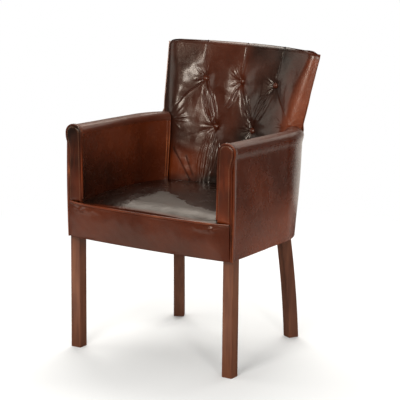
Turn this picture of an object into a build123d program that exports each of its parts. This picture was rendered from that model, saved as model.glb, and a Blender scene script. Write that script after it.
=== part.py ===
from build123d import *
import math
import os

os.makedirs("parts", exist_ok=True)

# Club chair in millimetres. The origin is on the floor under the middle of the chair, +X is the
# right-hand side seen from the front, +Y points to the back and +Z up. The chair is symmetric
# about X = 0: pieces are made on the right and mirrored to the left.

# Heights of the main levels
hem_height = 348
border_depth = 92
arm_rise = 230
back_rise = 223
seat_tuck_height = hem_height + border_depth
arm_level = seat_tuck_height + arm_rise
back_top = arm_level + back_rise

# Clearances and overruns
soft_gap = 0.3
overrun = 60
zone_reach = 3

# Side wall: straight from the front to the bend, then bending in towards the back
half_width = 288
side_lean = 3
rear_flare = 22
bend_centre_x = 70
bend_radius = half_width - bend_centre_x
bend_y = 27
bend_angles = (0, 8, 16, 24, 32, 40, 47)
bend_full_angle = 45
facing_front = -274
facing_thickness = 5.7
straight_middle = (facing_front + bend_y) / 2
skin = 5
frame_thickness = 25

# Legs
leg_size = 34
leg_centre_x = half_width - leg_size / 2
front_leg_inset = 28
front_leg_y = facing_front + front_leg_inset
front_leg_head_gap = 2
front_leg_top = seat_tuck_height - front_leg_head_gap
rear_leg_top = seat_tuck_height
rear_leg_size = 33
rear_leg_turn = 28.5
rear_leg_inset = 98
rear_leg_x = half_width - rear_leg_inset
rear_leg_y = 177
rear_leg_sweep_foot = 40
rear_leg_sweep_middle = 22.5
rear_leg_sweep_top = -15.5
rear_leg_middle = 200
leg_edge_radius = 2

# Arms
arm_low_width = 49
arm_high_width = 46
arm_inner_low = half_width - arm_low_width
arm_inner_high = half_width - arm_high_width
arm_low_narrowing = 22
arm_high_narrowing = -15
arm_roll_height = 25
arm_top_rise = 17
arm_top = arm_level + arm_top_rise
arm_top_drop = 16
arm_roll_overhang = 4
arm_lip = 8
arm_rail_height = 30
arm_low_rail_height = 26
arm_low_rail_lift = 20
arm_low_rail_bottom = seat_tuck_height + arm_low_rail_lift
arm_post_depth = 32
facing_width = 43
facing_foot_lift = 20
facing_foot = seat_tuck_height + facing_foot_lift
round_top_share = 0.97

# Welts and buttons
welt_radius = 2.6
seat_welt_radius = 3.6
button_radius = 10
button_height = 7
button_rim_share = 0.3
dome_radius = 13

# Seat
bow_reach = 27.2
bow_edge_reach = 20.2
bow_y = facing_front - bow_reach
bow_edge_inset = 83
bow_edge_x = half_width - bow_edge_inset
bow_edge_y = facing_front - bow_edge_reach
border_rise = 15
border_top = seat_tuck_height + border_rise
border_inset = 10
border_back = facing_front + border_inset
border_draft = 9
rail_lift = 8
rail_drop = 12
rail_bottom = hem_height + rail_lift
rail_top = seat_tuck_height - rail_drop
rail_thickness = 22
webbing_thickness = 2
webbing_width = 50
webbing_gap = 18
strap_spacing = webbing_width + webbing_gap
strap_count = 5
strap_hold = 12
cross_strap_middle = -60
foam_rise = 16
foam_top = seat_tuck_height + foam_rise
crown_rise = 40
seat_crown = seat_tuck_height + crown_rise
crown_radius = 2600
crown_centre_y = -95
seat_side_inset = 42
seat_half_width = half_width - seat_side_inset
seat_tuck_run = 18
seat_front_radius = 4
dust_cover_thickness = 1.5

# Corner blocks
block_reach = 48
block_depth = 28
block_inset = 6


# Back: front and rear surfaces are arcs in plan at three heights. Each of their places starts at
# the seat tuck and leans by a share of the height, one share below arm level and one above.

def leaning(low, lean_shares):
    middle = low + arm_rise * lean_shares[0]
    return low, middle, middle + back_rise * lean_shares[1]


back_levels = (seat_tuck_height, arm_level, back_top)
front_centre_low = 132
front_centre_shares = (0.2935, 0.3027)
front_edge_inset = 98
front_edge_x_shares = (0.0652, 0.2332)
front_edge_low = 110
front_edge_y_shares = (0.1913, 0.3408)
rear_centre_low = 250
rear_centre_shares = (0.0261, 0.2287)
rear_edge_inset = 58
rear_edge_x_shares = (0.1, 0.1031)
rear_edge_low = 180
rear_edge_y_shares = (0.013, 0.296)
front_centre_y = leaning(front_centre_low, front_centre_shares)
front_edge_x = leaning(half_width - front_edge_inset, front_edge_x_shares)
front_edge_y = leaning(front_edge_low, front_edge_y_shares)
rear_centre_y = leaning(rear_centre_low, rear_centre_shares)
rear_edge_x = leaning(half_width - rear_edge_inset, rear_edge_x_shares)
rear_edge_y = leaning(rear_edge_low, rear_edge_y_shares)
hem_rear_centre_y = 251
hem_rear_edge_inset = 61
hem_rear_edge_x = half_width - hem_rear_edge_inset
hem_rear_edge_y = 182
seat_back_reach = front_centre_low + seat_tuck_run
back_frame_thickness = (22, 20, 12)
back_wrap = (14, 20, 22)
top_wrap = 11
top_corner_radius = 22
top_edge_radius = 9
side_edge_radius = (6, 16, 9)
crest_height = 34
back_rail_height = 30
back_rail_lift = 12
post_width = 34

# Tufting: the places of the buttons and the pleats between them, on the front of the back
upper_button_x = 125
upper_button_drop = 112
upper_button_height = back_top - upper_button_drop
lower_button_x = 65
lower_button_drop = 31
lower_button_height = arm_level - lower_button_drop
pleat_width = 17
pleat_depth = 9
pleat_rise = 1.5
pleat_curve_shares = (0.42, 0.28)
top_pleat_x = 139
side_pleat_inset = 1
side_pleat_x = front_edge_x[1] - side_pleat_inset
side_pleat_lift = 20
side_pleat_height = arm_level + side_pleat_lift
foot_pleat_x = 52
dimple_radius = 24
dimple_depth = 11

# Fixings
bolt_radius = 2.5
bolt_head_radius = 6
bolt_head_height = 4
bolt_in_leg = 16
bolt_gap = 0.1
twine_radius = 1
knot_radius = 4
knot_height = 1.5


# Helpers

def save(piece, label):
    piece.label = label
    export_step(piece, f"parts/{label}.step")


def save_pair(right_piece, name):
    save(right_piece, f"{name}_right")
    with BuildPart() as left:
        mirror(objects=right_piece, about=Plane.YZ)
    save(left.part, f"{name}_left")


def flat_outline(plane, points):
    with BuildSketch(plane) as outline:
        with BuildLine():
            Polyline(*points, close=True)
        make_face()
    return outline.sketch


def at_height(values, height):
    low, middle, high = back_levels
    if height <= middle:
        share = (height - low) / (middle - low)
        return values[0] + (values[1] - values[0]) * share
    share = (height - middle) / (high - middle)
    return values[1] + (values[2] - values[1]) * share


# Side wall: upright section planes along the arm. Local x is the distance across the wall.

def wall_stations(front):
    stations = []
    for y in (front, straight_middle):
        plane = Plane(origin=(0, y, 0), x_dir=(1, 0, 0), z_dir=(0, -1, 0))
        stations.append((plane, 0, (y - facing_front) / wall_length))
    for angle in bend_angles:
        turn = math.radians(angle)
        across = (math.cos(turn), math.sin(turn))
        origin = (bend_centre_x * (1 - across[0]), bend_y - bend_centre_x * across[1], 0)
        plane = Plane(origin=origin, x_dir=(*across, 0), z_dir=(across[1], -across[0], 0))
        along = bend_y - facing_front + bend_radius * turn
        stations.append((plane, angle / bend_full_angle, along / wall_length))
    return stations


border_end_x = half_width - skin - 2 * soft_gap
bow_end_y = facing_front
wall_length = bend_y - facing_front + bend_radius * math.radians(bend_full_angle)


def wall_outside(height, bend):
    rise = (height - hem_height) / (arm_level - hem_height)
    return half_width + (side_lean + rear_flare * bend) * rise


def wall_inside(height, bend):
    rise = (height - seat_tuck_height) / (arm_level - seat_tuck_height)
    low = arm_inner_low - arm_low_narrowing * bend
    high = arm_inner_high - arm_high_narrowing * bend
    return low + (high - low) * rise


def frame_outside(height, bend):
    return wall_outside(height, bend) - skin - soft_gap


def frame_inside(height, bend):
    return frame_outside(height, bend) - frame_thickness


def arm_top_at(along):
    return arm_top - arm_top_drop * along


def roll_foot_at(along):
    return arm_top_at(along) - arm_roll_height


def rail_top_at(along):
    return roll_foot_at(along) - arm_lip - soft_gap


def frame_bar_section(station, low, high):
    plane, bend, along = station
    return flat_outline(plane, (
        (frame_inside(low, bend), low),
        (frame_outside(low, bend), low),
        (frame_outside(high, bend), high),
        (frame_inside(high, bend), high),
    ))


def arm_pad_section(station):
    plane, bend, along = station
    foot = roll_foot_at(along)
    lip = foot - arm_lip
    left = wall_inside(foot, bend)
    right = wall_outside(foot, bend) + arm_roll_overhang
    with BuildSketch(plane) as section:
        with BuildLine():
            ThreePointArc((left, foot), ((left + right) / 2, arm_top_at(along)), (right, foot))
            Polyline(
                (right, foot),
                (wall_outside(lip, bend), lip),
                (frame_inside(lip, bend) - soft_gap, lip),
                (frame_inside(seat_tuck_height, bend) - soft_gap, seat_tuck_height),
                (wall_inside(seat_tuck_height, bend), seat_tuck_height),
                (left, foot),
            )
        make_face()
    return section.sketch


def outside_arm_section(station):
    plane, bend, along = station
    top = rail_top_at(along)
    return flat_outline(plane, (
        (wall_outside(hem_height, bend) - skin, hem_height),
        (wall_outside(hem_height, bend), hem_height),
        (wall_outside(top, bend), top),
        (wall_outside(top, bend) - skin, top),
    ))


def arm_zone_section(station):
    plane, bend, along = station
    low = front_leg_top
    high = arm_top
    outer = half_width + overrun
    return flat_outline(plane, (
        (wall_inside(low, bend) - soft_gap, low),
        (outer, low),
        (outer, high),
        (wall_inside(high, bend) - soft_gap, high),
    ))


# Back: arcs in plan, given by the half width, the place of the edge and of the middle

levels = range(len(back_levels))


def inset_arc(edge_x, edge_y, centre_y, inset):
    rise = centre_y - edge_y
    radius = (edge_x**2 + rise**2) / (2 * rise)
    angle = math.asin(edge_x / radius)
    return edge_x - inset * math.sin(angle), edge_y - inset * math.cos(angle), centre_y - inset


def arc_y(arc, x):
    edge_x, edge_y, centre_y = arc
    rise = centre_y - edge_y
    radius = (edge_x**2 + rise**2) / (2 * rise)
    return centre_y - radius + math.sqrt(radius**2 - x**2)


def front_arc(level):
    return front_edge_x[level], front_edge_y[level], front_centre_y[level]


def rear_arc(level, inset=0):
    return inset_arc(rear_edge_x[level], rear_edge_y[level], rear_centre_y[level], inset)


def hem_arc(inset=0):
    return inset_arc(hem_rear_edge_x, hem_rear_edge_y, hem_rear_centre_y, inset)


def low_arc(height, inset):
    rise = (height - hem_height) / (seat_tuck_height - hem_height)
    return [low + (high - low) * rise for low, high in zip(hem_arc(inset), rear_arc(0, inset))]


def rear_zone_section(height, arc):
    near = arc[1] - soft_gap
    wide = half_width + overrun
    return flat_outline(Plane.XY.offset(height), (
        (-wide, near),
        (wide, near),
        (wide, near + wide),
        (-wide, near + wide),
    ))


def strip_section(height, outer, inner):
    with BuildSketch(Plane.XY.offset(height)) as strip:
        with BuildLine():
            ThreePointArc((-outer[0], outer[1]), (0, outer[2]), (outer[0], outer[1]))
            Line((outer[0], outer[1]), (inner[0], inner[1]))
            ThreePointArc((inner[0], inner[1]), (0, inner[2]), (-inner[0], inner[1]))
            Line((-inner[0], inner[1]), (-outer[0], outer[1]))
        make_face()
    return strip.sketch


def frame_front(level):
    return skin + soft_gap + back_frame_thickness[level]


def cover_section(level, gap, height):
    edge_x = front_edge_x[level] + gap
    edge_y = front_edge_y[level] - gap
    rear = rear_arc(level, skin + soft_gap)
    rear_x = rear[0] + gap
    rear_y = rear[1] - gap
    with BuildSketch(Plane.XY.offset(height)) as section:
        with BuildLine():
            ThreePointArc((-edge_x, edge_y), (0, front_centre_y[level] - gap), (edge_x, edge_y))
            if gap:
                far_x = edge_x + zone_reach * (rear_x - edge_x)
                far_y = edge_y + zone_reach * (rear_y - edge_y)
                Polyline(
                    (edge_x, edge_y),
                    (far_x, far_y),
                    (0, far_y + overrun),
                    (-far_x, far_y),
                    (-edge_x, edge_y),
                )
            else:
                Line((edge_x, edge_y), (rear_x, rear_y))
                ThreePointArc((rear_x, rear_y), (0, rear[2]), (-rear_x, rear_y))
                Line((-rear_x, rear_y), (-edge_x, edge_y))
        make_face()
        fillet(section.vertices().group_by(Axis.Y)[0], radius=side_edge_radius[level])
    return section.sketch


def hollow_section(level):
    front = rear_arc(level, frame_front(level) + webbing_thickness + soft_gap)
    side = front[0] - back_wrap[level]
    side_y = arc_y(front, side)
    far_y = rear_centre_y[level] + overrun
    with BuildSketch(Plane.XY.offset(back_levels[level])) as section:
        with BuildLine():
            ThreePointArc((-side, side_y), (0, front[2]), (side, side_y))
            Polyline(
                (side, side_y),
                (side + webbing_thickness, far_y),
                (-side - webbing_thickness, far_y),
                (-side, side_y),
            )
        make_face()
    return section.sketch


# Spaces that the arms leave free: the back, in front of its front surface, and the rear panel

with BuildPart() as back_zone:
    sections = [cover_section(0, soft_gap, hem_height)]
    for level, height in enumerate(back_levels):
        sections.append(cover_section(level, soft_gap, height))
    loft(sections, ruled=True)

with BuildPart() as rear_zone:
    sections = [rear_zone_section(rail_bottom - overrun, hem_arc(skin))]
    sections.append(rear_zone_section(hem_height, hem_arc(skin)))
    for level, height in enumerate(back_levels):
        sections.append(rear_zone_section(height, rear_arc(level, skin)))
    loft(sections, ruled=True)


# Leg bolts: each runs through a corner block into its leg

block_bottom = rail_bottom + block_inset
block_height = rail_top - rail_bottom - 2 * block_inset
front_rail_back = border_back + soft_gap + rail_thickness
leg_inner_x = leg_centre_x - leg_size / 2
leg_rear_face = front_leg_y + leg_size / 2 - leg_edge_radius
rear_half = rear_leg_size / 2
sabre_out = (math.sin(math.radians(rear_leg_turn)), math.cos(math.radians(rear_leg_turn)))

block_far_x = frame_inside(rail_bottom, 0)
block_middle = block_bottom + block_height / 2
block_side_end = Vector(block_far_x, leg_rear_face + block_reach, block_middle)
block_front_end = Vector(leg_inner_x - block_reach, front_rail_back, block_middle)
block_face = (block_side_end + block_front_end) / 2
block_normal = (block_front_end - block_side_end).cross(Vector(0, 0, -1)).normalized()
front_bolt_length = (Vector(leg_inner_x, leg_rear_face, block_middle) - block_face).dot(block_normal)
front_bolt_run = block_normal * front_bolt_length
rear_bolt_run = Vector(*sabre_out, 0) * block_depth
rear_leg_face = Vector(rear_leg_x, rear_leg_y, block_middle) - Vector(*sabre_out, 0) * rear_half
bolt_places = (
    (block_face, front_bolt_run),
    (rear_leg_face - rear_bolt_run, rear_bolt_run),
)


def bolt_solid(place, gap):
    start, run = place
    with BuildPart() as bolt:
        with BuildSketch(Plane(origin=start, z_dir=run)):
            Circle(bolt_radius + gap)
        extrude(amount=run.length + bolt_in_leg)
        if not gap:
            with BuildSketch(Plane(origin=start, z_dir=run)):
                Circle(bolt_head_radius)
            extrude(amount=-bolt_head_height)
    return bolt.part


# Front legs: square below the hem, slimmer above it where the cover passes outside

with BuildPart() as front_leg:
    with BuildSketch():
        with Locations((leg_centre_x, front_leg_y)):
            Rectangle(leg_size, leg_size)
    extrude(amount=hem_height - soft_gap)
    fillet(front_leg.edges().filter_by(Axis.Z), radius=leg_edge_radius)
    inner_x = leg_centre_x - leg_size / 2 + leg_edge_radius
    outer_x = frame_outside(hem_height, 0)
    with BuildSketch(Plane.XY.offset(hem_height - soft_gap)):
        with Locations(((inner_x + outer_x) / 2, front_leg_y)):
            Rectangle(outer_x - inner_x, leg_size - 2 * leg_edge_radius)
    extrude(amount=front_leg_top - hem_height + soft_gap)
    add(bolt_solid(bolt_places[0], bolt_gap), mode=Mode.SUBTRACT)
save_pair(front_leg.part, "front_leg")


# Rear legs: sabre curve in an upright plane turned outwards

sabre_plane = Plane(
    origin=(rear_leg_x, rear_leg_y, 0),
    x_dir=(*sabre_out, 0),
    z_dir=(sabre_out[1], -sabre_out[0], 0),
)

with BuildPart() as rear_leg:
    with BuildSketch(sabre_plane):
        with BuildLine():
            front_curve = ThreePointArc(
                (rear_leg_sweep_foot - rear_half, 0),
                (rear_leg_sweep_middle - rear_half, rear_leg_middle),
                (rear_leg_sweep_top - rear_half, rear_leg_top),
            )
            rear_curve = ThreePointArc(
                (rear_leg_sweep_foot + rear_half, 0),
                (rear_leg_sweep_middle + rear_half, rear_leg_middle),
                (rear_leg_sweep_top + rear_half, rear_leg_top),
            )
            Line(front_curve @ 0, rear_curve @ 0)
            Line(front_curve @ 1, rear_curve @ 1)
        make_face()
    extrude(amount=rear_half, both=True)
    add(bolt_solid(bolt_places[1], bolt_gap), mode=Mode.SUBTRACT)
save_pair(rear_leg.part, "rear_leg")


# Seat rails

with BuildPart() as front_rail:
    with BuildSketch(Plane.XY.offset(rail_bottom)):
        with Locations((0, border_back + soft_gap + rail_thickness / 2)):
            Rectangle(2 * leg_centre_x - leg_size, rail_thickness)
    extrude(amount=rail_top - rail_bottom)
save(front_rail.part, "front_seat_rail")

rear_leg_side = Plane(
    origin=(
        rear_leg_x + rear_half * sabre_out[1],
        rear_leg_y - rear_half * sabre_out[0],
        0,
    ),
    z_dir=(sabre_out[1], -sabre_out[0], 0),
)
with BuildPart() as side_rail:
    stations = wall_stations(leg_rear_face)
    top = rail_top + webbing_thickness
    sections = [frame_bar_section(station, rail_bottom, top) for station in stations]
    loft(sections, ruled=True)
    split(bisect_by=rear_leg_side, keep=Keep.TOP)
    add(rear_zone.part, mode=Mode.SUBTRACT)
save_pair(side_rail.part, "side_seat_rail")

with BuildPart() as rear_rail:
    sections = []
    for height in (rail_bottom, rail_top):
        outer = low_arc(height, skin + soft_gap)
        inner = low_arc(height, skin + soft_gap + rail_thickness)
        sections.append(strip_section(height, outer, inner))
    loft(sections, ruled=True)
    with Locations((0, hem_rear_centre_y, rail_bottom)):
        Box(2 * rear_leg_x - rear_leg_size, rail_bottom, rail_bottom, mode=Mode.INTERSECT)
    add(rear_leg.part, mode=Mode.SUBTRACT)
    add(rear_leg.part.mirror(Plane.YZ), mode=Mode.SUBTRACT)
save(rear_rail.part, "rear_seat_rail")


# Corner blocks in the angles of the seat rails, behind each leg

with BuildPart() as front_block:
    with BuildSketch(Plane.XY.offset(block_bottom)):
        with BuildLine():
            Polyline(
                (block_far_x, leg_rear_face),
                (block_far_x, leg_rear_face + block_reach),
                (leg_inner_x - block_reach, front_rail_back),
                (leg_inner_x, front_rail_back),
                (leg_inner_x, leg_rear_face),
                close=True,
            )
        make_face()
    extrude(amount=block_height)
    add(bolt_solid(bolt_places[0], bolt_gap), mode=Mode.SUBTRACT)
save_pair(front_block.part, "front_corner_block")

block_out = rear_half + block_depth / 2
with BuildPart() as rear_block:
    with BuildSketch(Plane.XY.offset(block_bottom)):
        with Locations((
            rear_leg_x - block_out * sabre_out[0],
            rear_leg_y - block_out * sabre_out[1],
        )):
            Rectangle(2 * block_reach, block_depth, rotation=-rear_leg_turn)
    extrude(amount=block_height)
    for neighbour in (rear_leg.part, side_rail.part, rear_rail.part):
        add(neighbour, mode=Mode.SUBTRACT)
    add(bolt_solid(bolt_places[1], bolt_gap), mode=Mode.SUBTRACT)
save_pair(rear_block.part, "rear_corner_block")

with BuildPart() as leg_bolts:
    for place in bolt_places:
        add(bolt_solid(place, 0))
    mirror(about=Plane.YZ)
save(leg_bolts.part, "leg_bolts")


# Arm frames: post over the front leg, low rail and arm rail running back to the back post

stations = wall_stations(facing_front + facing_thickness + soft_gap)
front_station = stations[0]
post_foot = front_leg_top
post_head = rail_top_at(front_station[2]) - arm_rail_height

with BuildPart() as arm_post:
    plane = front_station[0]
    with BuildSketch(plane):
        with BuildLine():
            Polyline(
                (frame_inside(post_foot, 0), post_foot),
                (frame_outside(post_foot, 0), post_foot),
                (frame_outside(post_head, 0), post_head),
                (frame_inside(post_head, 0), post_head),
                close=True,
            )
        make_face()
    extrude(amount=-arm_post_depth)
save_pair(arm_post.part, "arm_post")

with BuildPart() as arm_rail:
    sections = []
    for station in stations:
        top = rail_top_at(station[2])
        sections.append(frame_bar_section(station, top - arm_rail_height, top))
    loft(sections, ruled=True)
    add(arm_post.part, mode=Mode.SUBTRACT)

with BuildPart() as arm_low_rail:
    low_stations = wall_stations(facing_front + facing_thickness + soft_gap + arm_post_depth)
    low = arm_low_rail_bottom
    low_top = low + arm_low_rail_height
    loft([frame_bar_section(station, low, low_top) for station in low_stations], ruled=True)


for bar in (arm_rail, arm_low_rail):
    with bar:
        add(back_zone.part, mode=Mode.SUBTRACT)
        add(rear_zone.part, mode=Mode.SUBTRACT)
save_pair(arm_rail.part, "arm_rail")
save_pair(arm_low_rail.part, "arm_low_rail")


# Arm covers: inside pad with the rolled top, outside panel and front facing

with BuildPart() as arm_pad:
    loft([arm_pad_section(station) for station in stations], ruled=True)
    add(back_zone.part, mode=Mode.SUBTRACT)
    add(rear_zone.part, mode=Mode.SUBTRACT)
save_pair(arm_pad.part, "arm_cover")

with BuildPart() as outside_arm:
    loft([outside_arm_section(station) for station in stations], ruled=True)
    add(rear_zone.part, mode=Mode.SUBTRACT)
save_pair(outside_arm.part, "outside_arm")

facing_inset = welt_radius
roll_left = wall_inside(roll_foot_at(0), 0)
roll_right = wall_outside(roll_foot_at(0), 0) + arm_roll_overhang
roll_foot = roll_foot_at(0)
facing_left = border_end_x - facing_width


def facing_edge(grow, right_foot, left_foot):
    right = roll_right + grow - facing_inset
    left = roll_left - grow + facing_inset
    top = arm_top + grow - facing_inset
    flare = roll_foot - arm_lip
    round_top = (right - left) / 2 * round_top_share
    return FilletPolyline(
        (border_end_x + grow, right_foot),
        (border_end_x + grow, flare - facing_width / 2),
        (right, flare),
        (right, top),
        (left, top),
        (facing_left - grow, left_foot),
        radius=(facing_width / 2, arm_lip, round_top, round_top),
    )


with BuildPart() as facing:
    with BuildSketch(Plane.XZ.offset(-facing_front)):
        with BuildLine():
            edge = facing_edge(0, facing_foot, facing_foot)
            Line(edge @ 0, edge @ 1)
        make_face()
    extrude(amount=-facing_thickness)
save_pair(facing.part, "arm_facing")

welt_out = welt_radius + soft_gap
welt_y = facing_front + welt_radius - soft_gap
with BuildPart() as facing_welt:
    with BuildLine(Plane.XZ.offset(-welt_y)) as welt_line:
        edge = facing_edge(welt_out, hem_height, facing_foot + 2 * welt_out)
    with BuildSketch(Plane.XY.offset(hem_height)):
        with Locations((border_end_x + welt_out, welt_y)):
            Circle(welt_radius)
    sweep(path=welt_line.wire())
save_pair(facing_welt.part, "facing_welt")


# Seat: bowed front border with a welt along its top, webbing, foam and crowned top

def bow_edges(draft=0):
    front = ThreePointArc(
        (-bow_edge_x, bow_edge_y + draft), (0, bow_y + draft), (bow_edge_x, bow_edge_y + draft)
    )
    right = TangentArc(front @ 1, (border_end_x, bow_end_y), tangent=front % 1)
    left_start = (-border_end_x, bow_end_y)
    TangentArc(front @ 0, left_start, tangent=(front % 0) * -1)
    return right @ 1


def border_section(height, draft):
    with BuildSketch(Plane.XY.offset(height)) as section:
        with BuildLine():
            end = bow_edges(draft)
            Polyline(
                end,
                (border_end_x, border_back),
                (-border_end_x, border_back),
                (-border_end_x, bow_end_y),
            )
        make_face()
    return section.sketch


def seat_welt_solid(radius):
    with BuildPart() as welt:
        with BuildLine(Plane.XY.offset(border_top)) as path:
            bow_edges()
        with BuildSketch(Plane(origin=path.wire() @ 0, z_dir=path.wire() % 0)):
            Circle(radius)
        sweep(path=path.wire())
        with Locations((0, bow_y, border_top)):
            Box(2 * (border_end_x - welt_radius), overrun * 2, overrun, mode=Mode.INTERSECT)
    return welt.part


seat_welt_groove = seat_welt_solid(seat_welt_radius + soft_gap)
save(seat_welt_solid(seat_welt_radius), "seat_welt")

with BuildPart() as arm_zone:
    zone_stations = wall_stations(facing_front - soft_gap)
    loft([arm_zone_section(station) for station in zone_stations], ruled=True)
    mirror(about=Plane.YZ)

with BuildPart() as border:
    loft([border_section(hem_height, border_draft), border_section(border_top, 0)])
    add(seat_welt_groove, mode=Mode.SUBTRACT)
    add(arm_zone.part, mode=Mode.SUBTRACT)
save(border.part, "seat_front_border")

seat_front = border_back + soft_gap
seat_depth = seat_back_reach - seat_front
foam_bottom = rail_top + 2 * webbing_thickness + soft_gap
with BuildPart() as foam:
    with BuildSketch(Plane.XY.offset(foam_bottom)):
        with Locations((0, seat_front + seat_depth / 2)):
            Rectangle(2 * seat_half_width, seat_depth)
    extrude(amount=foam_top - foam_bottom)
    add(arm_zone.part, mode=Mode.SUBTRACT)
    add(back_zone.part, mode=Mode.SUBTRACT)
save(foam.part, "seat_foam")

with BuildPart() as seat_top:
    with BuildSketch(Plane.XY.offset(foam_top + soft_gap)):
        with BuildLine():
            end = bow_edges()
            Polyline(
                end,
                (border_end_x, seat_back_reach),
                (-border_end_x, seat_back_reach),
                (-border_end_x, bow_end_y),
            )
        make_face()
        with Locations((0, bow_y)):
            Rectangle(2 * seat_half_width, 2 * (seat_back_reach - bow_y), mode=Mode.INTERSECT)
    extrude(amount=seat_crown - foam_top)
    with Locations((0, crown_centre_y, seat_crown - crown_radius)):
        Sphere(crown_radius, mode=Mode.INTERSECT)
    front_edges = seat_top.edges().filter_by(lambda edge: edge.center().Y < bow_end_y)
    top_edges = front_edges.filter_by(lambda edge: edge.center().Z > foam_top + seat_front_radius)
    fillet(top_edges, radius=seat_front_radius)
    add(arm_zone.part, mode=Mode.SUBTRACT)
    add(back_zone.part, mode=Mode.SUBTRACT)
    add(seat_welt_groove, mode=Mode.SUBTRACT)
save(seat_top.part, "seat_top")

with BuildPart() as long_webbing:
    rail_middle = hem_arc(skin + soft_gap + rail_thickness / 2)
    with BuildSketch(Plane.XY.offset(rail_top)):
        for strap in range(strap_count):
            x = (strap - (strap_count - 1) / 2) * strap_spacing
            strap_back = arc_y(rail_middle, abs(x) + webbing_width / 2)
            with Locations((x, (seat_front + strap_back) / 2)):
                Rectangle(webbing_width, strap_back - seat_front)
    extrude(amount=webbing_thickness)
    add(rear_leg.part, mode=Mode.SUBTRACT)
    add(rear_leg.part.mirror(Plane.YZ), mode=Mode.SUBTRACT)
save(long_webbing.part, "seat_webbing_long")

with BuildPart() as cross_webbing:
    strap_reach = frame_inside(rail_top, 0) + strap_hold
    with BuildSketch(Plane.XY.offset(rail_top + webbing_thickness)):
        with Locations((0, cross_strap_middle)):
            with GridLocations(0, strap_spacing, 1, strap_count):
                Rectangle(2 * strap_reach, webbing_width)
    extrude(amount=webbing_thickness)
save(cross_webbing.part, "seat_webbing_cross")

with BuildPart() as dust_cover:
    cover_x = (frame_inside(rail_bottom, 0) + frame_outside(rail_bottom, 0)) / 2
    cover_front = seat_front + rail_thickness / 2
    with BuildSketch(Plane.XY.offset(rail_bottom - soft_gap - dust_cover_thickness)):
        with BuildLine():
            Polyline((0, cover_front), (cover_x, cover_front), (cover_x, bend_y))
            cover_bend = CenterArc((bend_centre_x, bend_y), cover_x - bend_centre_x, 0, bend_angles[-3])
            Line(cover_bend @ 1, (rail_middle[0], rail_middle[1]))
            ThreePointArc(
                (rail_middle[0], rail_middle[1]),
                (rail_middle[0] / 2, arc_y(rail_middle, rail_middle[0] / 2)),
                (0, rail_middle[2]),
            )
            mirror(about=Plane.YZ)
        make_face()
    extrude(amount=dust_cover_thickness)
    for leg in (front_leg.part, rear_leg.part):
        add(leg, mode=Mode.SUBTRACT)
        add(leg.mirror(Plane.YZ), mode=Mode.SUBTRACT)
save(dust_cover.part, "dust_cover")


# Back frame: two posts, crest rail and low rail, all cut from one curved board

def layer_section(level, near, far):
    outer = rear_arc(level, near)
    inner = rear_arc(level, far)
    return strip_section(back_levels[level], outer, inner)


def post_edge(level):
    front = rear_arc(level, frame_front(level) + webbing_thickness + soft_gap)
    return front[0] - back_wrap[level] - soft_gap


def across_section(level, reach):
    with BuildSketch(Plane.XY.offset(back_levels[level])) as section:
        with Locations((0, rear_centre_y[level])):
            Rectangle(2 * reach, 4 * overrun)
    return section.sketch


crest_top = back_top - top_wrap - soft_gap
crest_bottom = crest_top - crest_height
low_rail_bottom = seat_tuck_height + back_rail_lift

with BuildPart() as back_board:
    loft([layer_section(level, skin + soft_gap, frame_front(level)) for level in levels], ruled=True)
    loft([across_section(level, post_edge(level)) for level in levels], ruled=True, mode=Mode.INTERSECT)

with BuildPart() as between_posts:
    loft([across_section(level, post_edge(level) - post_width) for level in levels], ruled=True)

with BuildPart() as crest_rail:
    add(back_board.part)
    with Locations((0, rear_centre_y[-1], crest_bottom)):
        Box(4 * half_width, 4 * overrun, crest_height, mode=Mode.INTERSECT,
            align=(Align.CENTER, Align.CENTER, Align.MIN))
save(crest_rail.part, "crest_rail")

with BuildPart() as back_low_rail:
    add(back_board.part)
    add(between_posts.part, mode=Mode.INTERSECT)
    with Locations((0, rear_centre_y[0], low_rail_bottom)):
        Box(4 * half_width, 4 * overrun, back_rail_height, mode=Mode.INTERSECT,
            align=(Align.CENTER, Align.CENTER, Align.MIN))
save(back_low_rail.part, "back_low_rail")

with BuildPart() as back_post:
    add(back_board.part)
    add(between_posts.part, mode=Mode.SUBTRACT)
    with Locations((half_width, rear_centre_y[0], seat_tuck_height)):
        Box(2 * half_width, 6 * overrun, crest_bottom - seat_tuck_height, mode=Mode.INTERSECT,
            align=(Align.CENTER, Align.CENTER, Align.MIN))
save_pair(back_post.part, "back_post")

with BuildPart() as back_webbing:
    sections = []
    for level in levels:
        near = frame_front(level)
        sections.append(layer_section(level, near, near + webbing_thickness))
    loft(sections, ruled=True)
    with Locations((0, rear_centre_y[0], low_rail_bottom)):
        with GridLocations(strap_spacing, 0, strap_count, 1):
            Box(webbing_width, 6 * overrun, crest_top - low_rail_bottom, mode=Mode.INTERSECT,
                align=(Align.CENTER, Align.CENTER, Align.MIN))


# Outside back panel, from the hem to just under the top

with BuildPart() as outside_back:
    sections = [strip_section(hem_height, hem_arc(), hem_arc(skin))]
    for level in levels:
        sections.append(layer_section(level, 0, skin))
    loft(sections, ruled=True)
    split(bisect_by=Plane.XY.offset(back_top - top_edge_radius), keep=Keep.BOTTOM)
save(outside_back.part, "outside_back")


# Tufted inside back: one cover wrapped over the top and the sides of the frame

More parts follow.
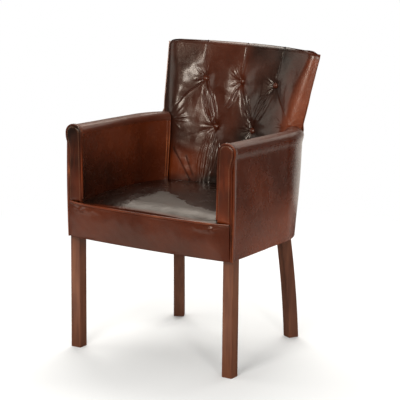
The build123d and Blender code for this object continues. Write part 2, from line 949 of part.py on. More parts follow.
# Each place on the front surface is (x, height)
upper_left = (-upper_button_x, upper_button_height)
upper_middle = (0, upper_button_height)
upper_right = (upper_button_x, upper_button_height)
lower_left = (-lower_button_x, lower_button_height)
lower_right = (lower_button_x, lower_button_height)
buttons = (upper_left, upper_middle, upper_right, lower_left, lower_right)
pleats = (
    (upper_left, (-top_pleat_x, back_top + overrun)),
    (upper_middle, (0, back_top + overrun)),
    (upper_right, (top_pleat_x, back_top + overrun)),
    (upper_left, lower_left),
    (upper_middle, lower_left),
    (upper_middle, lower_right),
    (upper_right, lower_right),
    (upper_left, (-side_pleat_x, side_pleat_height)),
    (upper_right, (side_pleat_x, side_pleat_height)),
    (lower_left, (-foot_pleat_x, seat_crown)),
    (lower_right, (foot_pleat_x, seat_crown)),
)


def front_point(x, height):
    edge_x = at_height(front_edge_x, height)
    edge_y = at_height(front_edge_y, height)
    centre = at_height(front_centre_y, height)
    return Vector(x, arc_y((edge_x, edge_y, centre), x), height)


def front_normal(x, height):
    step = button_radius
    across = front_point(x + step, height) - front_point(x - step, height)
    up = front_point(x, height + step) - front_point(x, height - step)
    return across.cross(up).normalized()


def button_plane(x, height):
    return Plane(origin=front_point(x, height), z_dir=front_normal(x, height))


def strap_depth(x, height):
    arcs = [rear_arc(level, frame_front(level)) for level in levels]
    depth = 0
    for step in range(len(buttons)):
        point = front_point(x, height) - front_normal(x, height) * depth
        arc = [at_height([arc[part] for arc in arcs], point.Z) for part in range(len(arcs))]
        depth += arc_y(arc, point.X) - point.Y
    return depth


def twine_solid(place, radius):
    start = button_plane(*place).offset(soft_gap - dimple_depth)
    length = strap_depth(*place) - dimple_depth + 2 * knot_height
    with BuildPart() as twine:
        with BuildSketch(start):
            Circle(radius)
        extrude(amount=-length)
    return twine.part


with BuildPart() as dimple:
    with BuildSketch(Plane.XZ):
        with BuildLine():
            floor = button_radius + soft_gap
            ThreePointArc(
                (floor, -dimple_depth),
                (floor + (dimple_radius - floor) * pleat_curve_shares[0],
                 -dimple_depth * pleat_curve_shares[1]),
                (dimple_radius, pleat_rise),
            )
            Polyline(
                (dimple_radius, pleat_rise),
                (0, pleat_rise),
                (0, -dimple_depth),
                (floor, -dimple_depth),
            )
        make_face()
    revolve(axis=Axis.Z)


def pleat_solid(start, end):
    first = front_point(*start)
    last = front_point(*end)
    along = last - first
    out = (front_normal(*start) + front_normal(*end)).normalized()
    plane = Plane(origin=first, x_dir=out.cross(along), z_dir=along)
    with BuildPart() as pleat:
        with BuildSketch(plane):
            with BuildLine():
                curve_x = pleat_width * pleat_curve_shares[0]
                curve_y = -pleat_depth * pleat_curve_shares[1]
                ThreePointArc((-pleat_width, pleat_rise), (-curve_x, curve_y), (0, -pleat_depth))
                ThreePointArc((0, -pleat_depth), (curve_x, curve_y), (pleat_width, pleat_rise))
                Line((pleat_width, pleat_rise), (-pleat_width, pleat_rise))
            make_face()
        extrude(amount=along.length)
    return pleat.part


with BuildPart() as top_corners:
    with BuildSketch(Plane.XZ.offset(overrun)) as elevation:
        with BuildLine():
            low_x = rear_edge_x[0] + welt_radius
            high_x = rear_edge_x[-1] + soft_gap
            low_z = seat_tuck_height - welt_radius
            high_z = back_top + soft_gap
            Polyline((-low_x, low_z), (low_x, low_z), (high_x, high_z), (-high_x, high_z), close=True)
        make_face()
        fillet(elevation.vertices().group_by(Axis.Y)[-1], radius=top_corner_radius)
    extrude(amount=-rear_centre_y[-1] - 3 * overrun)

with BuildPart() as frame_hollow:
    loft([hollow_section(level) for level in levels], ruled=True)
    split(bisect_by=Plane.XY.offset(back_top - top_wrap), keep=Keep.BOTTOM)

with BuildPart() as back_cover:
    sections = [cover_section(level, 0, height) for level, height in enumerate(back_levels)]
    loft(sections, ruled=True)
    fillet(back_cover.edges().group_by(Axis.Z)[-1], radius=top_edge_radius)
    add(top_corners.part, mode=Mode.INTERSECT)
    add(frame_hollow.part, mode=Mode.SUBTRACT)
    for start, end in pleats:
        add(pleat_solid(start, end), mode=Mode.SUBTRACT)
    for place in buttons:
        add(dimple.part.moved(button_plane(*place).location), mode=Mode.SUBTRACT)
        add(twine_solid(place, twine_radius + soft_gap), mode=Mode.SUBTRACT)
save(back_cover.part, "inside_back")

with back_webbing:
    for place in buttons:
        add(twine_solid(place, twine_radius + soft_gap), mode=Mode.SUBTRACT)
save(back_webbing.part, "back_webbing")

with BuildPart() as button:
    seat = soft_gap - dimple_depth
    with BuildSketch(Plane.XZ):
        with BuildLine():
            rim = seat + button_height * button_rim_share
            RadiusArc((0, seat + button_height), (button_radius, rim), dome_radius)
            Polyline((button_radius, rim), (button_radius, seat), (0, seat), (0, seat + button_height))
        make_face()
    revolve(axis=Axis.Z)

names = ("upper_left", "upper_middle", "upper_right", "lower_left", "lower_right")
for place, name in zip(buttons, names):
    save(button.part.moved(button_plane(*place).location), f"button_{name}")

with BuildPart() as button_ties:
    for place in buttons:
        add(twine_solid(place, twine_radius))
        knot_plane = button_plane(*place).offset(-strap_depth(*place) - knot_height)
        with BuildSketch(knot_plane):
            Circle(knot_radius)
        extrude(amount=-knot_height)
save(button_ties.part, "button_ties")
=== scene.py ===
# %% [markdown]
# # A club chair in waxed leather
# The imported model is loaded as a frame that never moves. It gives the size and place of every
# hidden rail, post and leg. The leather goes over it, piece by piece, in metres.

# %% Load the frame
import math

import bpy
import numpy as np
from mathutils import Matrix, Vector


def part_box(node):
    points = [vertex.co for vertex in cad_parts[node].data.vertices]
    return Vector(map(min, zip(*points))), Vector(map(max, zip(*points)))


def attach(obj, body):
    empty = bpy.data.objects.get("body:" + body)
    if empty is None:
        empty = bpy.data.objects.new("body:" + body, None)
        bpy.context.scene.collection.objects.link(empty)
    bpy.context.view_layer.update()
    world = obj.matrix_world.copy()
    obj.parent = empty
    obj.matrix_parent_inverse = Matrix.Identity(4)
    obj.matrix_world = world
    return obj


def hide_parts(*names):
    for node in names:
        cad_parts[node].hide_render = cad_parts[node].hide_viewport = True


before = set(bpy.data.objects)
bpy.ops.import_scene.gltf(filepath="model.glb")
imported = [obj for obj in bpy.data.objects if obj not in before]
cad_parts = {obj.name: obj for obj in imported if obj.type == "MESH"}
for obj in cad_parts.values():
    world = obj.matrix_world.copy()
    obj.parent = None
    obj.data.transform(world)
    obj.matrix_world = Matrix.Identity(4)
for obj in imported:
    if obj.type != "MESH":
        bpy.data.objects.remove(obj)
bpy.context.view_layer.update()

# %% [markdown]
# ## Camera
# The chair was photographed from its right-hand front corner, a little above the arms. The long
# lens and the turn are chosen so that feet, hem and arm ends fall where they are in the photograph.

# %% Camera
camera_turn = math.radians(32.95)
camera_rise = math.radians(12.27)
camera_roll = math.radians(0.54)
camera_distance = 5.5
camera_target = (0, 0.002, 0.4445)
photo_side = 400
focal_pixels = 1813.55
axis_offset_pixels = 0.72

lens = bpy.data.cameras.new("photo_camera")
lens.sensor_width = 36
lens.lens = focal_pixels / photo_side * lens.sensor_width
lens.shift_x = axis_offset_pixels / photo_side
camera = bpy.data.objects.new("photo_camera", lens)
scene = bpy.context.scene
scene.collection.objects.link(camera)
camera.matrix_world = (
    Matrix.Translation(camera_target) @ Matrix.Rotation(camera_turn, 4, "Z")
    @ Matrix.Rotation(math.radians(90) - camera_rise, 4, "X") @ Matrix.Rotation(camera_roll, 4, "Z")
    @ Matrix.Translation((0, 0, camera_distance)))
scene.camera = camera
print("camera", [round(value, 3) for value in camera.location], "lens", round(lens.lens, 1))

# %% [markdown]
# ## Shader maths
# A node tree is easier to read as a sum. The first class below wraps one socket, so that plus,
# minus and times on it add Math nodes. The second holds the nodes of one material, or of the
# world, and makes every other node with one method.

# %% Sockets as numbers
def arithmetic(operation, swapped=False):
    def method(self, other):
        first, second = (other, self) if swapped else (self, other)
        return self.recipe.node("Math", {0: first, 1: second}, operation=operation)

    return method


class Signal:
    __add__ = __radd__ = arithmetic("ADD")
    __mul__ = __rmul__ = arithmetic("MULTIPLY")
    __sub__ = arithmetic("SUBTRACT")
    __rsub__ = arithmetic("SUBTRACT", swapped=True)

    def __init__(self, recipe, socket):
        self.recipe = recipe
        self.socket = socket

    def between(self, low, high):
        sockets = {"Value": self, "From Min": low, "From Max": high}
        return self.recipe.node("MapRange", sockets, interpolation_type="SMOOTHSTEP")


class Recipe:
    def __init__(self, name, kind="materials"):
        self.owner = getattr(bpy.data, kind).new(name)
        self.owner.use_nodes = True
        self.tree = self.owner.node_tree
        self.place = self.node("TexCoord", out="Object")

    def node(self, kind, sockets=None, out=0, **settings):
        made = self.tree.nodes.new("ShaderNode" + kind)
        for key, value in settings.items():
            setattr(made, key, value)
        self.feed(made, sockets or {})
        return Signal(self, made.outputs[out])

    def feed(self, node, sockets):
        for key, value in sockets.items():
            socket = node.inputs[key]
            if isinstance(value, Signal):
                self.tree.links.new(value.socket, socket)
            elif socket.type == "RGBA":
                socket.default_value = (*value, 1)
            else:
                socket.default_value = value

    def noise(self, scale, detail=3.0, roughness=0.55, place=None):
        sockets = {"Scale": scale, "Detail": detail, "Roughness": roughness}
        return self.node("TexNoise", {"Vector": place or self.place, **sockets})

    def stretched(self, along):
        return self.node("Mapping", {"Vector": self.place, "Scale": (1.0, 1.0, along)})

    def bump(self, strength, distance, height):
        return self.node("Bump", {"Strength": strength, "Distance": distance, "Height": height})

    def ramp(self, factor, *stops):
        """Colours by number; each stop is a place and a colour as colour() takes it."""
        made = self.node("ValToRGB", {"Fac": factor})
        elements = made.socket.node.color_ramp.elements
        while len(elements) < len(stops):
            elements.new(0.5)
        for element, (place, tint) in zip(elements, stops):
            element.position = place
            element.color = (*colour(*tint), 1)
        return made

    def blend(self, factor, first, second):
        """Inputs 6 and 7 and output 2 are the colour ones of a Mix node."""
        return self.node("Mix", {"Factor": factor, 6: first, 7: second}, 2, data_type="RGBA")

    def either(self, factor, first, second):
        return self.node("MixShader", {0: factor, 1: first, 2: second})

    def ray(self, kind):
        return self.node("LightPath", out=f"Is {kind} Ray")

    def shader(self, kind, tint, strength):
        return self.node(kind, {"Color": tint, "Strength": strength})

    def finish(self, **sockets):
        named = {key.replace("_", " "): value for key, value in sockets.items()}
        self.feed(self.tree.nodes["Principled BSDF"], named)
        return self.owner


def colour(red, green, blue):
    """A colour as it is seen, 0 to 255, in the renderer's own linear numbers."""
    shares = (value / 255 for value in (red, green, blue))
    return tuple(s / 12.92 if s <= 0.04045 else ((s + 0.055) / 1.055) ** 2.4 for s in shares)


# %% [markdown]
# ## Leather
# The hide was dyed dark over a lighter brown and then rubbed, so edges, welts and folds are
# orange brown while hollows stay nearly black. Three values painted on each piece's points say
# how light the hide is (tone), how rubbed it is (its wear) and how dull the wax has become (dull).
# On the back, tone and wear also carry painted light and painted shade; on the arms, tone does.
# The grain and the fine crackle are bumps, too small to model.

# %% Leather
hide_black = (24, 13, 9)
hide_brown = (74, 28, 10)
hide_chestnut = (122, 50, 15)
hide_orange = colour(178, 98, 48)


def make_leather(name, gloss_low, gloss_high, coat):
    hide = Recipe(name)
    tone, wear, dull = (hide.node("Attribute", out="Fac", attribute_name=word)
                        for word in ("tone", "wear", "dull"))
    broad = hide.noise(6.0)
    cloud = hide.noise(26.0, 4.0)
    wrinkle = hide.noise(62.0, 4.0, 0.7)
    speck = hide.noise(160.0, 5.0, 0.65)
    grain = hide.node("TexVoronoi", {"Vector": hide.place, "Scale": 700.0}, feature="SMOOTH_F1")
    # The tone and the wear below hold painted light and painted shade as well as dye and rubbing.
    dye_and_shade = tone + (broad - 0.5) * 0.30 + (cloud - 0.5) * 0.26 + (speck - 0.5) * 0.12
    base = hide.ramp(dye_and_shade, (0.0, hide_black), (0.45, hide_brown), (1.0, hide_chestnut))
    rubbed_and_lit = (wear + (speck - 0.5) * 0.5 + (cloud - 0.5) * 0.5).between(0.25, 1.0)
    drift = hide.node("TexNoise", {"Vector": hide.place, "Scale": 9.0, "Detail": 3.0}, "Color")
    shift = hide.node("VectorMath", {0: drift, "Scale": 0.06}, operation="SCALE")
    warped = hide.node("VectorMath", {0: hide.place, 1: shift}, operation="ADD")
    cells = hide.node("TexVoronoi", {"Vector": warped, "Scale": 42.0}, feature="DISTANCE_TO_EDGE")
    crackle = (1 - cells.between(0.0, 0.03)) * cloud.between(0.45, 0.65) * dye_and_shade.between(0.55, 1.0)
    coloured = hide.blend(crackle * 0.3, hide.blend(rubbed_and_lit, base, hide_orange), hide_orange)
    height = grain * 0.25 + speck * 0.7 + wrinkle * 1.1 + cloud * 0.8 - crackle * 0.5
    bump = hide.bump(0.45, 0.0014, height)
    dulled = (dull + (wrinkle - 0.5) * 0.9).between(0.3, 0.75)
    gloss = gloss_low + (gloss_high - gloss_low) * cloud.between(0.3, 0.7)
    gloss = gloss + dulled * 0.26 + speck * 0.06
    return hide.finish(Base_Color=coloured, Roughness=gloss, Normal=bump, Coat_Weight=coat,
                       Coat_Roughness=0.18, Specular_Tint=(1.0, 0.86, 0.74))


leather = make_leather("waxed_leather", 0.26, 0.38, 0.4)
seat_hide = make_leather("polished_leather", 0.17, 0.25, 0.1)
arm_hide = make_leather("rubbed_leather", 0.19, 0.27, 0.3)
print("leather", leather.name, seat_hide.name, arm_hide.name)

# %% [markdown]
# ## Wood
# The legs are beech, stained like mahogany and polished; the hidden frame is plain beech. Beech
# has short dark flecks along the grain, so the noise is stretched along each leg.

# %% Wood
def make_wood(name, dark, middle, light):
    wood = Recipe(name)
    figure = wood.noise(34.0, 4.0, place=wood.stretched(0.09))
    fleck = wood.noise(420.0, 2.0, place=wood.stretched(0.035))
    cloud = wood.noise(7.0)
    shade = figure * 0.7 + (fleck - 0.5) * 0.5 + (cloud - 0.5) * 0.4 + 0.15
    base = wood.ramp(shade, (0.1, dark), (0.5, middle), (0.9, light))
    bump = wood.bump(0.25, 0.0006, fleck + figure * 0.6)
    return wood.finish(Base_Color=base, Roughness=0.34 + fleck * 0.12, Normal=bump,
                       Coat_Weight=0.15, Coat_Roughness=0.2)


stained_wood = make_wood("stained_beech", (52, 27, 16), (106, 60, 38), (142, 90, 60))
plain_wood = make_wood("plain_beech", (150, 112, 76), (190, 150, 106), (214, 178, 134))
print("wood", stained_wood.name, plain_wood.name)

# %% [markdown]
# ## Sizes
# The leather follows the same walls as the frame. The side wall runs straight back from the arm
# front and then bends in round an upright axis, and the back is an arc in plan at every height.
# Each is written here once, as a function of height and place.

# %% The walls in numbers
hem_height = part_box("outside_back")[0][2]
seat_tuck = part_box("inside_back")[0][2]
back_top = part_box("inside_back")[1][2]
facing_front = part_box("arm_facing_right")[0][1]
facing_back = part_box("arm_facing_right")[1][1]
arm_level = 0.67
half_width = 0.288
side_lean = 0.003
rear_flare = 0.022
inner_low, inner_high = 0.239, 0.242
inner_narrowing, inner_widening = 0.022, 0.015
bend_centre = (0.07, 0.027)
bend_full = math.radians(45)
bend_radius = half_width - bend_centre[0]
bend_blend = 0.05
straight_wall = bend_centre[1] - facing_front
wall_length = straight_wall + bend_radius * bend_full
skin = 0.005
frame_thickness = 0.025
gap = 0.0003
arm_top = 0.687
arm_top_drop = 0.016
arm_roll_height = 0.025
arm_overhang = 0.004
arm_lip = 0.012
sides = (("right", 1), ("left", -1))


def curve_through(low, middle, high):
    """Straight from the seat to the arm's level and from there to the top, with a soft bend."""
    lower = (middle - low) / (arm_level - seat_tuck)
    upper = (high - middle) / (back_top - arm_level)

    def at(height):
        in_bend = np.clip((height - arm_level + bend_blend) / (2 * bend_blend), 0, 1)
        above = bend_blend * in_bend**2 + np.maximum(height - arm_level - bend_blend, 0)
        return low + lower * (height - seat_tuck) + (upper - lower) * above

    return at


front_centre = curve_through(0.132, 0.1995, 0.267)
front_edge_x = curve_through(0.190, 0.205, 0.257)
front_edge_y = curve_through(0.110, 0.154, 0.230)
rear_centre = curve_through(0.250, 0.256, 0.307)
rear_edge_x = curve_through(0.230, 0.253, 0.276)
rear_edge_y = curve_through(0.180, 0.183, 0.249)


def arc_radius(half, rise):
    return (half**2 + rise**2) / (2 * rise)


def arc_y(x, edge_x, edge_y, centre_y):
    radius = arc_radius(edge_x, centre_y - edge_y)
    return centre_y - radius + np.sqrt(radius**2 - np.asarray(x)**2)


def front_arc(x, height):
    return arc_y(x, front_edge_x(height), front_edge_y(height), front_centre(height))


def smooth(value):
    held = np.clip(value, 0, 1)
    return held * held * (3 - 2 * held)


def bell(value):
    return np.exp(-value**2)


def window(value, start, end, soft):
    return smooth((value - start) / soft) * smooth((end - value) / soft)


def join(*parts):
    return np.concatenate(parts)


def unit(vectors):
    return vectors / np.linalg.norm(vectors, axis=-1, keepdims=True)


def line_of(x, y, z):
    """Points from three lists of numbers, where one number may stand for a whole list."""
    return np.stack(np.broadcast_arrays(x, y, z), axis=-1)


def wall_outside(height, bend):
    rise = (height - hem_height) / (arm_level - hem_height)
    return half_width + (side_lean + rear_flare * bend) * rise


def wall_inside(height, bend):
    rise = (height - seat_tuck) / (arm_level - seat_tuck)
    low = inner_low - inner_narrowing * smooth(bend)
    high = inner_high + inner_widening * smooth(bend)
    return low + (high - low) * rise


def wall_turn(distance):
    return np.maximum(distance - straight_wall, 0) / bend_radius


def along_wall(distance, across, height):
    """A point of the right-hand wall: distance back from the facing, across from the middle."""
    turn = wall_turn(distance)
    y = facing_front + np.minimum(distance, straight_wall)
    arm = across - bend_centre[0]
    return line_of(bend_centre[0] + arm * np.cos(turn), y + arm * np.sin(turn), height)


print("wall length", round(wall_length, 3), "back", round(seat_tuck, 3), "to", round(back_top, 3))

# %% [markdown]
# ## Making a leather piece
# A stuffed piece is a dense net of points, because its folds are a few millimetres wide. The
# points come in rows; joining neighbours gives the faces, and the piece is then pushed in and
# out along its own normals, the way a hide lies over its stuffing.

# %% Nets of points
smooth_angle = math.radians(55)


def new_piece(name, points, faces):
    mesh = bpy.data.meshes.new(name)
    mesh.from_pydata(points.tolist(), [], faces)
    piece = bpy.data.objects.new(name, mesh)
    scene.collection.objects.link(piece)
    return piece


def ring_faces(count, around, first=0):
    """Faces between closed rings of points, and one over each end ring."""
    index = first + np.arange(count * around).reshape(count, around)
    following = np.roll(index, -1, axis=1)
    faces = np.stack([index[:-1], following[:-1], following[1:], index[1:]], axis=-1)
    return faces.reshape(-1, 4).tolist() + [index[0][::-1].tolist(), index[-1].tolist()]


def piece_from_rows(name, rows):
    rows = np.array(rows)
    return new_piece(name, rows.reshape(-1, 3), ring_faces(*rows.shape[:2]))


def choose(piece):
    bpy.ops.object.select_all(action="DESELECT")
    piece.select_set(True)
    bpy.context.view_layer.objects.active = piece


def tidy_mesh(piece):
    choose(piece)
    bpy.ops.object.mode_set(mode="EDIT")
    bpy.ops.mesh.select_all(action="SELECT")
    bpy.ops.mesh.remove_doubles(threshold=0.00001)
    bpy.ops.mesh.normals_make_consistent(inside=False)
    bpy.ops.object.mode_set(mode="OBJECT")
    bpy.ops.object.shade_smooth_by_angle(angle=smooth_angle)


def points_of(piece, kind="co"):
    values = np.empty(len(piece.data.vertices) * 3)
    piece.data.vertices.foreach_get(kind, values)
    return values.reshape(-1, 3)


def move_points(piece, points):
    piece.data.vertices.foreach_set("co", points.reshape(-1))
    piece.data.update()


def push(piece, amounts):
    piece.data.update()
    move_points(piece, points_of(piece) + points_of(piece, "normal") * amounts[:, None])


def paint(piece, **looks):
    for attribute, values in looks.items():
        layer = piece.data.attributes.new(attribute, "FLOAT", "POINT")
        layer.data.foreach_set("value", np.clip(values, 0, 1).astype(np.float32))


def ripple(points, size, seed):
    """Smooth unevenness of about one either way, the same on every run."""
    random = np.random.default_rng(seed)
    waves = 28
    total = np.zeros(len(points))
    for wave in range(waves):
        direction = random.normal(size=3)
        pace = random.uniform(0.45, 1.5)
        direction *= 2 * math.pi / size / np.linalg.norm(direction) * pace
        total += np.sin(points @ direction + random.uniform(0, 2 * math.pi)) / pace
    return total / waves**0.5 / 1.5


def cover(piece, material):
    piece.data.materials.clear()
    piece.data.materials.append(material)


def settle(piece, nodes, material=leather):
    cover(piece, material)
    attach(piece, "root")
    if nodes:
        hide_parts(*nodes)
    print(piece.name, len(piece.data.polygons), "faces")


def complete(piece, nodes, fill=None, material=leather, slot="leather_cover", **looks):
    paint(piece, **looks)
    tidy_mesh(piece)
    settle(piece, nodes, material)


# %% [markdown]
# ## Arms
# One hide covers an arm: from the seat up the inside, over the roll and down the outside to the
# hem. Its outline is a ring round the frame, carried back along the wall until it meets the back.
# Each line of the ring stops where it reaches the back or the rear panel.

# %% Arms
arm_rows = 130
search_reach = wall_length * 1.35
search_steps = 14
outer_count, roll_count, inner_count = 90, 48, 64
roll_end = outer_count + roll_count
inner_end = roll_end + inner_count
outer_puff = 0.0025
inner_puff = 0.004


def arm_outline(distance):
    """The ring at one place along the arm: places across and heights, outer hem first."""
    bend = wall_turn(distance) / bend_full
    foot = arm_top - arm_top_drop * (distance / wall_length) - arm_roll_height
    left = wall_inside(foot, bend)
    right = wall_outside(foot, bend) + arm_overhang
    outer_z = np.linspace(hem_height, foot, outer_count, endpoint=False)
    lean = smooth((outer_z - (foot - 2 * arm_lip)) / (2 * arm_lip))
    puff = outer_puff * np.sin(np.pi * ((outer_z - hem_height) / (foot - hem_height)))
    outer_x = wall_outside(outer_z, bend) + puff + arm_overhang * lean
    roll = np.linspace(0, math.pi, roll_count, endpoint=False)
    roll_x = (left + right) / 2 + (right - left) / 2 * np.cos(roll)
    roll_z = foot + arm_roll_height * np.sin(roll)**0.92
    inner_z = np.linspace(foot, seat_tuck, inner_count)
    fall = (foot - inner_z) / (foot - seat_tuck)
    inner_x = wall_inside(inner_z, bend) - inner_puff * np.sin(np.pi * fall)**0.8
    skin_low = wall_outside(hem_height, bend) - skin
    frame_in = skin_low - gap - frame_thickness - gap
    frame_top = foot - arm_lip
    hidden_x = (frame_in, frame_in, wall_outside(frame_top, bend) - skin, skin_low)
    hidden_z = (seat_tuck, frame_top, frame_top, hem_height)
    return join(outer_x, roll_x, inner_x, hidden_x), join(outer_z, roll_z, inner_z, hidden_z)


def free_of_back(points):
    """Positive where a point lies clear of the back's side and of the rear panel."""
    x, y, z = points[..., 0], points[..., 1], points[..., 2]
    level = np.maximum(z, seat_tuck)
    edge_x, edge_y = front_edge_x(level), front_edge_y(level)
    panel_y = rear_edge_y(level) - skin
    run_x, run_y = rear_edge_x(level) - edge_x, panel_y - edge_y
    size = np.sqrt(run_x**2 + run_y**2)
    side = ((x - edge_x) * run_y - (y - edge_y) * run_x) / size - gap
    return np.minimum(side, panel_y - gap - y)


def arm_rings():
    start = facing_back + gap - facing_front
    size = len(arm_outline(start)[0])
    pick = np.arange(size)
    low = np.full(size, start)
    high = np.full(size, search_reach)

    def at(distances):
        table = np.array([arm_outline(distance) for distance in distances])
        return along_wall(distances, table[pick, 0, pick], table[pick, 1, pick])

    for step in range(search_steps):
        middle = (low + high) / 2
        clear = free_of_back(at(middle)) > 0
        low = np.where(clear, middle, low)
        high = np.where(clear, high, middle)
    return np.stack([at(start + (low - start) * share) for share in np.linspace(0, 1, arm_rows)])


right_rings = arm_rings()
ring_size = right_rings.shape[1]
for side, sign in sides:
    arm = piece_from_rows(f"arm_leather_{side}", (right_rings * [sign, 1, 1])[:, ::sign])
    points = points_of(arm)
    height = points[:, 2]
    on_ring = np.tile(np.arange(ring_size)[::sign], arm_rows)
    share = np.repeat(np.linspace(0, 1, arm_rows), ring_size)
    outer = on_ring < outer_count
    rolled = (on_ring >= outer_count) & (on_ring < roll_end)
    inner = (on_ring >= roll_end) & (on_ring < inner_end)
    front_end = 1 - smooth(share / 0.03)
    dents = 0.0007 * ripple(points, 0.2, 11 + sign) + 0.00018 * ripple(points, 0.06, 12 + sign)
    dents = dents * np.where(rolled, 0.35, 1) * (1 - front_end) * smooth((1 - share) / 0.04)
    tip = 0.004 * (1 - smooth(share / 0.02))
    push(arm, np.where(on_ring < inner_end, dents - tip, 0))
    # Tone: a random dye variation; the roll a little lighter, partly wear and partly painted sheen;
    # painted shade low on the inside, where the arm meets the seat, strongest at the front; a painted
    # highlight high on the inside towards the rear; on the outside painted shade under the roll,
    # lighter low down, and a lighter rubbed front end.
    tone = 0.38 + 0.12 * ripple(points, 0.2, 21) + 0.08 * rolled
    tone = tone - 0.28 * inner * smooth((0.62 - height) / 0.14) * (1 - share)
    tone = tone + 0.22 * inner * smooth((height - 0.50) / 0.12) * smooth(share / 0.5)
    tone = tone + outer * (0.06 + 0.27 * smooth((0.62 - height) / 0.2) + 0.2 * front_end)
    wear = 0.3 * front_end + 0.15 * smooth((share - 0.975) / 0.02) * inner
    wear = wear + 0.1 * rolled * smooth(0.5 + ripple(points, 0.06, 31))
    wear = wear + 0.3 * outer * smooth((hem_height + 0.008 - height) / 0.008)
    on_roll = window(on_ring, outer_count - 6, roll_end + 6, 14)
    dull = np.maximum(0.85 * on_roll, 1.1 * outer * (1 - smooth(share / 0.04)))
    complete(arm, [f"arm_cover_{side}", f"outside_arm_{side}"], 0.8, arm_hide,
             tone=tone, wear=wear, dull=dull)

# %% [markdown]
# ## Tufted back
# The inside back is one hide, wrapped over the top and the sides of the frame and pulled in at
# five buttons. The ring below goes round the back at one height; rings stacked from the seat to
# the top give the piece. A last few rings roll over the top edge.

# %% Shape of the back
top_radius = 0.013
corner_radius = 0.022
cap_draw = 0.0165
cap_rise = 0.0004
front_columns, corner_columns, side_columns, rear_columns = 190, 18, 12, 16
side_rounding = curve_through(0.012, 0.028, 0.018)


def rear_corner(height, inset):
    edge_x, edge_y = rear_edge_x(height), rear_edge_y(height)
    angle = np.arcsin(edge_x / arc_radius(edge_x, rear_centre(height) - edge_y))
    return edge_x - inset * np.sin(angle), edge_y - inset * np.cos(angle)


def back_ring(height, draw_in, level):
    """One ring: height sets the shape, draw_in pulls it inwards and level is where it lies."""
    over = max(0, level - (back_top - corner_radius))
    round_off = corner_radius - math.sqrt(max(0, corner_radius**2 - over**2))
    edge_x = front_edge_x(height)
    corner = np.array([edge_x, front_edge_y(height)])
    rear = np.array(rear_corner(height, skin + gap))
    setback = side_rounding(height)

    def rear_arc(x):
        return arc_y(x, rear[0], rear[1], rear_centre(height) - skin - gap)

    front_x = np.linspace(0, edge_x - setback, front_columns, endpoint=False)
    start = np.array([edge_x - setback, front_arc(edge_x - setback, height)])
    end = corner + (rear - corner) / np.linalg.norm(rear - corner) * setback
    t = np.linspace(0, 1, corner_columns, endpoint=False)[:, None]
    corner_line = (1 - t)**2 * start + 2 * t * (1 - t) * corner + t**2 * end
    side_line = end + (rear - end) * np.linspace(0, 1, side_columns, endpoint=False)[:, None]
    back_x = np.linspace(rear[0], 0, rear_columns + 1)
    x = join(front_x, corner_line[:, 0], side_line[:, 0], back_x)
    y = join(front_arc(front_x, height), corner_line[:, 1], side_line[:, 1], rear_arc(back_x))
    turn = np.linspace(1, -1, side_columns)
    toward = join(np.ones(len(front_x) + len(t)), turn, -np.ones(len(back_x)))
    within = np.minimum(x, rear[0])
    thickness = rear_arc(within) - front_arc(np.minimum(within, edge_x), height)
    y = y + np.minimum(draw_in, 0.4 * thickness) * toward
    right = line_of(x * ((edge_x - round_off - draw_in) / edge_x), y, level)
    return join(right, right[1:-1][::-1] * [-1, 1, 1])


rings = [back_ring(z, 0, z) for z in np.linspace(seat_tuck, back_top - top_radius, 330)]
for angle in np.linspace(0, math.pi / 2, 9)[1:]:
    level = back_top - top_radius + top_radius * math.sin(angle)
    rings.append(back_ring(level, top_radius * (1 - math.cos(angle)), level))
for draw in np.linspace(top_radius, cap_draw, 5)[1:]:
    rings.append(back_ring(back_top, draw, back_top + cap_rise))
ring_length = len(rings[0])
back = piece_from_rows("tufted_back", rings)
print("back", len(rings), "rings of", ring_length, "points")

# %% [markdown]
# A hide that is pulled to a button does four things. It sinks in a cone. It folds along the
# straight lines to the next buttons and to the edges. Between the folds it stays puffed. And near
# each button, where there is too much of it, it gathers into fine creases. Each of the four is a
# formula of the distance to a point or to a line.

# %% Folds of the back
button_x, button_z = 0.125, 0.781
low_button_x, low_button_z = 0.065, 0.639
button_places = {
    "upper_left": (-button_x, button_z),
    "upper_middle": (0, button_z),
    "upper_right": (button_x, button_z),
    "lower_left": (-low_button_x, low_button_z),
    "lower_right": (low_button_x, low_button_z),
}
upper_left, upper_middle, upper_right, lower_left, lower_right = button_places.values()
over_top = back_top + 0.04
top_pleat_x = 0.139


def from_line(x, z, start, end):
    """Distance to a line between two points, share of the way along, signed distance aside."""
    run = np.array(end) - np.array(start)
    length = np.hypot(*run)
    share = ((x - start[0]) * run[0] + (z - start[1]) * run[1]) / length / length
    aside = ((x - start[0]) * run[1] - (z - start[1]) * run[0]) / length
    past = np.maximum(np.maximum(-share, share - 1), 0) * length
    return np.hypot(aside, past), share, aside


def fold(x, z, start, end, tuck, fade):
    """A tuck: the hide climbs to an edge and drops behind it. It may fade towards its end."""
    share, aside = from_line(x, z, start, end)[1:]
    past = np.maximum(np.maximum(-share, share - 1), 0) * 0.2
    strength = (1 - fade * smooth(share)) * np.exp(-past / 0.006)
    climb = tuck * 0.5 * np.tanh(aside / 0.0009) * np.exp(-np.abs(aside) / 0.013)
    return strength * (climb - 0.35 * abs(tuck) * bell(aside / 0.0022))


def gathers(x, z, start, end, count, spread, height, seed):
    """A bundle of fine ridges that leave one point together and meet again at the other."""
    random = np.random.default_rng(seed)
    share, aside = from_line(x, z, start, end)[1:]
    inside = np.clip(share, 0, 1)
    bow = np.sin(np.pi * inside)**0.75
    total = np.zeros(len(x))
    for ridge in range(count):
        place = spread * ((ridge + 0.5) / count * 2 - 1) + random.uniform(-0.2, 0.2) * spread / count
        width = random.uniform(0.0018, 0.0034)
        wander = 0.0012 * np.sin(inside * random.uniform(5, 11) + random.uniform(0, 6))
        across = (aside - place * bow - wander) / width
        size = random.uniform(0.5, 1.0)
        begin, finish = random.uniform(0, 0.3), random.uniform(0.7, 1.0)
        reach = window(inside, begin, finish, 0.15)
        total += size * reach * (bell(across) - 0.55 * bell(across - 1.9))
    return height * total * window(share, 0, 1, 0.08)


